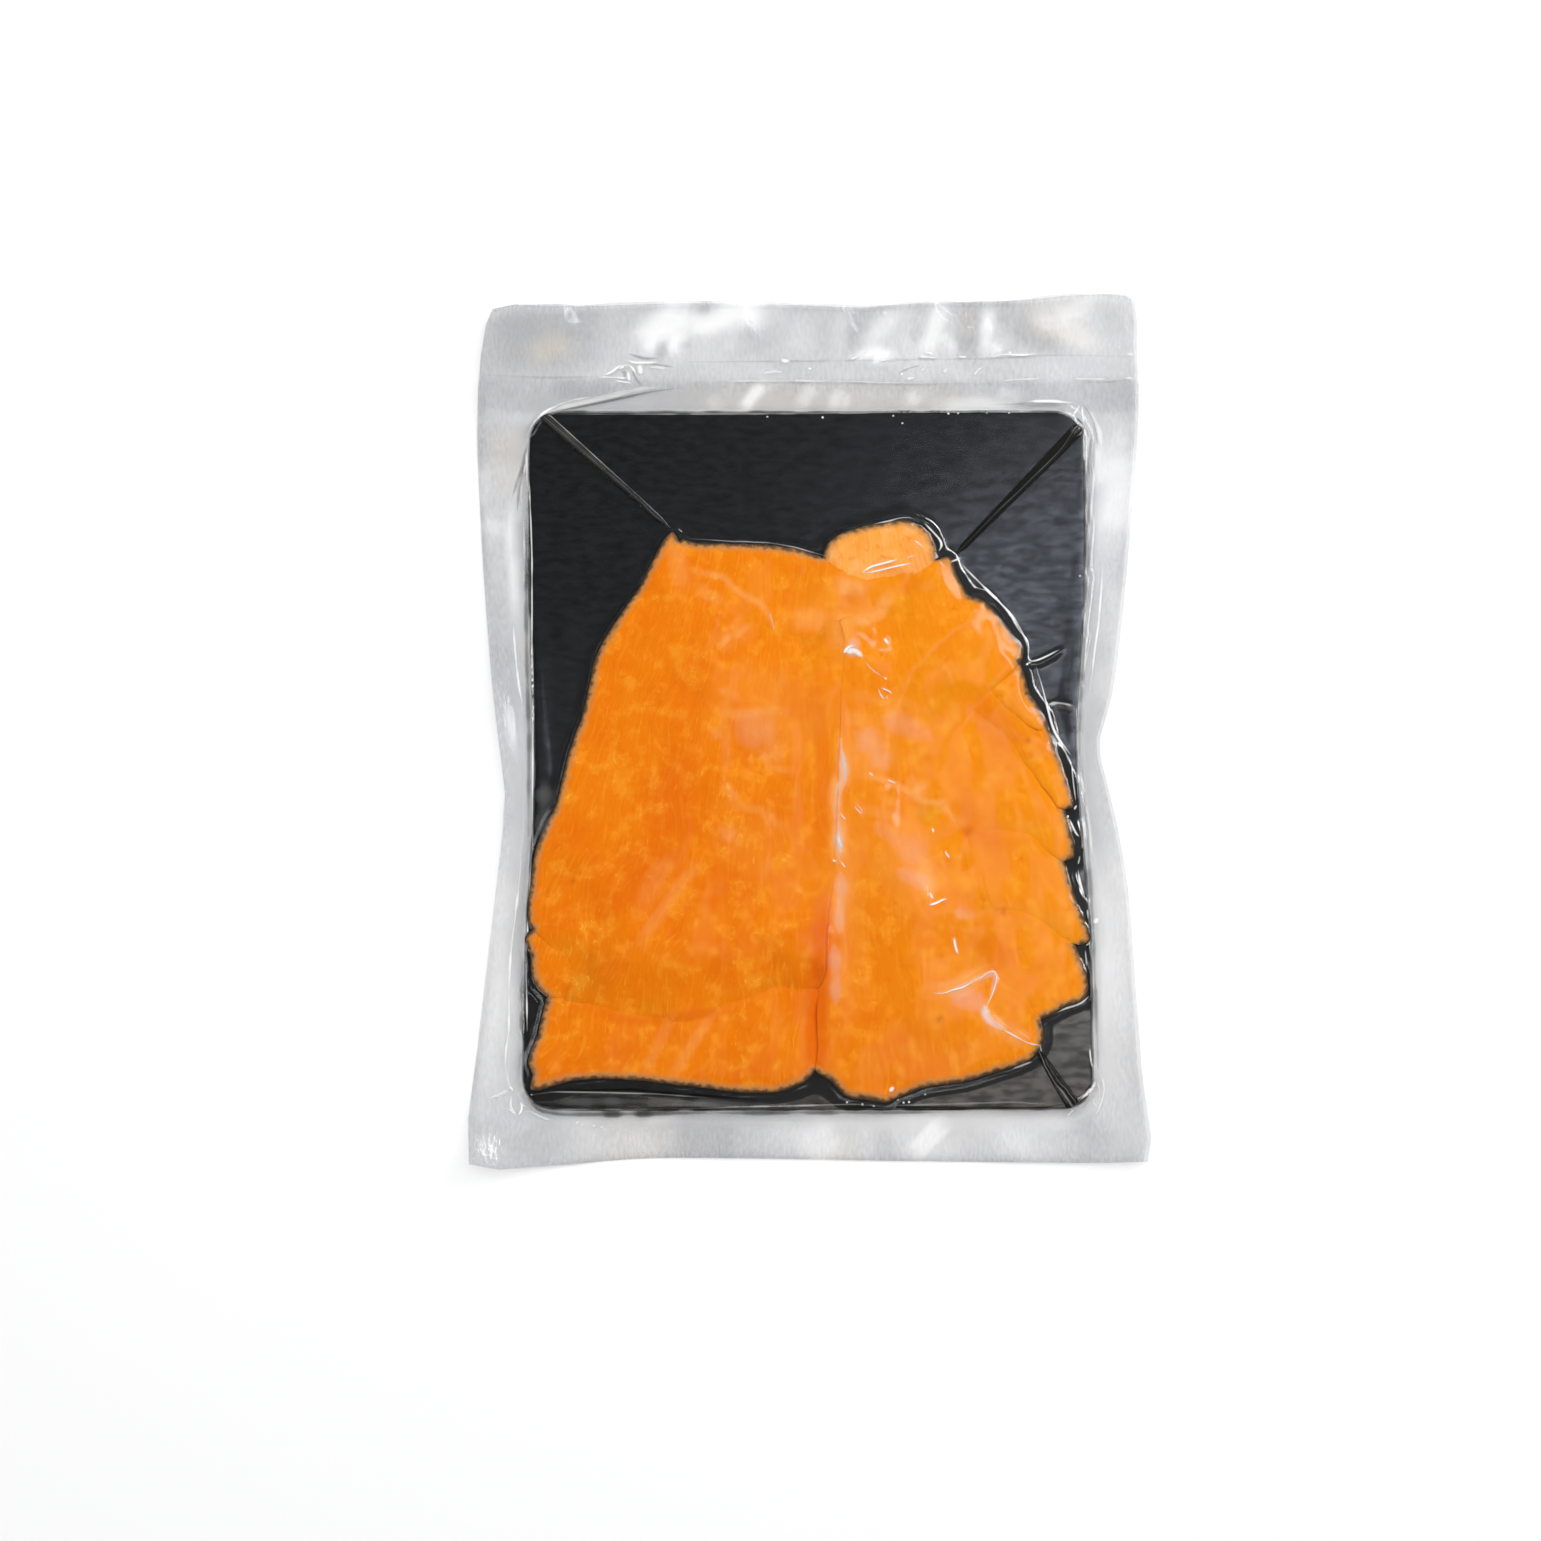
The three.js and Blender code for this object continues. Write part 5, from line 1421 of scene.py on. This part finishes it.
class SALMONPACK_PG_colours(bpy.types.PropertyGroup):
    """Colours that a user would change"""

    salmon: colour_property("Salmon", "Flesh", "#e37800")
    salmon_deep: colour_property("Salmon, deep", "Darker fibres and hollows", "#dc6800")
    # Lighter flesh towards the upper right: partly its own tone, partly painted sheen
    salmon_tone_and_sheen: colour_property("Salmon, light", "Lighter fibres", "#ee940a")
    salmon_belly: colour_property("Salmon, belly", "Belly flesh", "#eea244")
    salmon_pale: colour_property("Salmon, pale", "Fatty belly flesh", "#f4be8a")
    # Deeper flesh, and painted shade in the grooves where slices meet
    salmon_deep_and_shade: colour_property("Crease", "Where slices meet", "#d85e00")
    blush: colour_property("Blush", "Pinker flesh at the middle", "#ec9636")
    # Fat lines, also painted sheen on the middle ridge and along the film's creases
    fat_and_sheen: colour_property("Fat", "Fat lines", "#f0b26c")
    hair: colour_property("Hair", "Fine pale fibres", "#f4a830")
    thin_edge: colour_property("Thin edge", "Greyer flesh at the outer edge", "#b58450")
    # Dark rim of a slice: partly see-through flesh, partly painted shade of its wall
    rim_see_through_and_shade: colour_property("Wet edge", "Thin, see-through rim of a slice", "#40382c")
    spot: colour_property("Spot", "Dark spots", "#b8430a")
    card: colour_property("Card", "Black laminate", "#070808")
    card_light: colour_property("Card, light", "Laminate, mottled", "#0d0f12")
    speck: colour_property("Speck", "Specks on the laminate", "#4a4d52")
    # Grey of the milky film, also painted shade in the border's darker places
    haze_and_painted_light: colour_property("Film haze", "Milky film", "#a4a5a9")
    haze_warm: colour_property("Film haze, warm", "Milky film with a creamy cast", "#c9bfae")
    # Near black bunched film of the pleats and of the dark crease lines: painted shade
    fold: colour_property("Folded film", "Bunched film of the pleats", "#15140f")
    # White of the crease lines, glints and pleat lines: partly film stressed white, partly painted highlights
    crease: colour_property("Crease of film", "Film stressed white, and its glints", "#f6f6f4")
    floor: colour_property("Floor", "White paper", "#f7f7f7")


class SALMONPACK_PT_panel(bpy.types.Panel):
    """Settings and steps of the salmon pack"""

    bl_idname = "SALMONPACK_PT_panel"
    bl_label = "Salmon pack"
    bl_space_type = "VIEW_3D"
    bl_region_type = "UI"
    bl_category = "Salmon pack"

    def draw(self, context):
        for group in (context.scene.salmonpack_sizes, context.scene.salmonpack_colours):
            for name in group.__annotations__:
                self.layout.prop(group, name)
        for step in STEPS:
            self.layout.operator(step.bl_idname)


STEPS = (
    SALMONPACK_OT_slices,
    SALMONPACK_OT_card,
    SALMONPACK_OT_film,
    SALMONPACK_OT_pleats,
    SALMONPACK_OT_creases,
    SALMONPACK_OT_stage,
)
CLASSES = (SALMONPACK_PG_sizes, SALMONPACK_PG_colours, *STEPS, SALMONPACK_PT_panel)


def register():
    for cls in CLASSES:
        bpy.utils.register_class(cls)
    bpy.types.Scene.salmonpack_sizes = bpy.props.PointerProperty(type=SALMONPACK_PG_sizes)
    bpy.types.Scene.salmonpack_colours = bpy.props.PointerProperty(type=SALMONPACK_PG_colours)


def unregister():
    del bpy.types.Scene.salmonpack_colours
    del bpy.types.Scene.salmonpack_sizes
    for cls in reversed(CLASSES):
        bpy.utils.unregister_class(cls)


def main():
    register()
    bpy.ops.salmonpack.slices()
    bpy.ops.salmonpack.card()
    bpy.ops.salmonpack.film()
    bpy.ops.salmonpack.pleats()
    bpy.ops.salmonpack.creases()
    bpy.ops.salmonpack.stage()


if __name__ == "__main__":
    main()
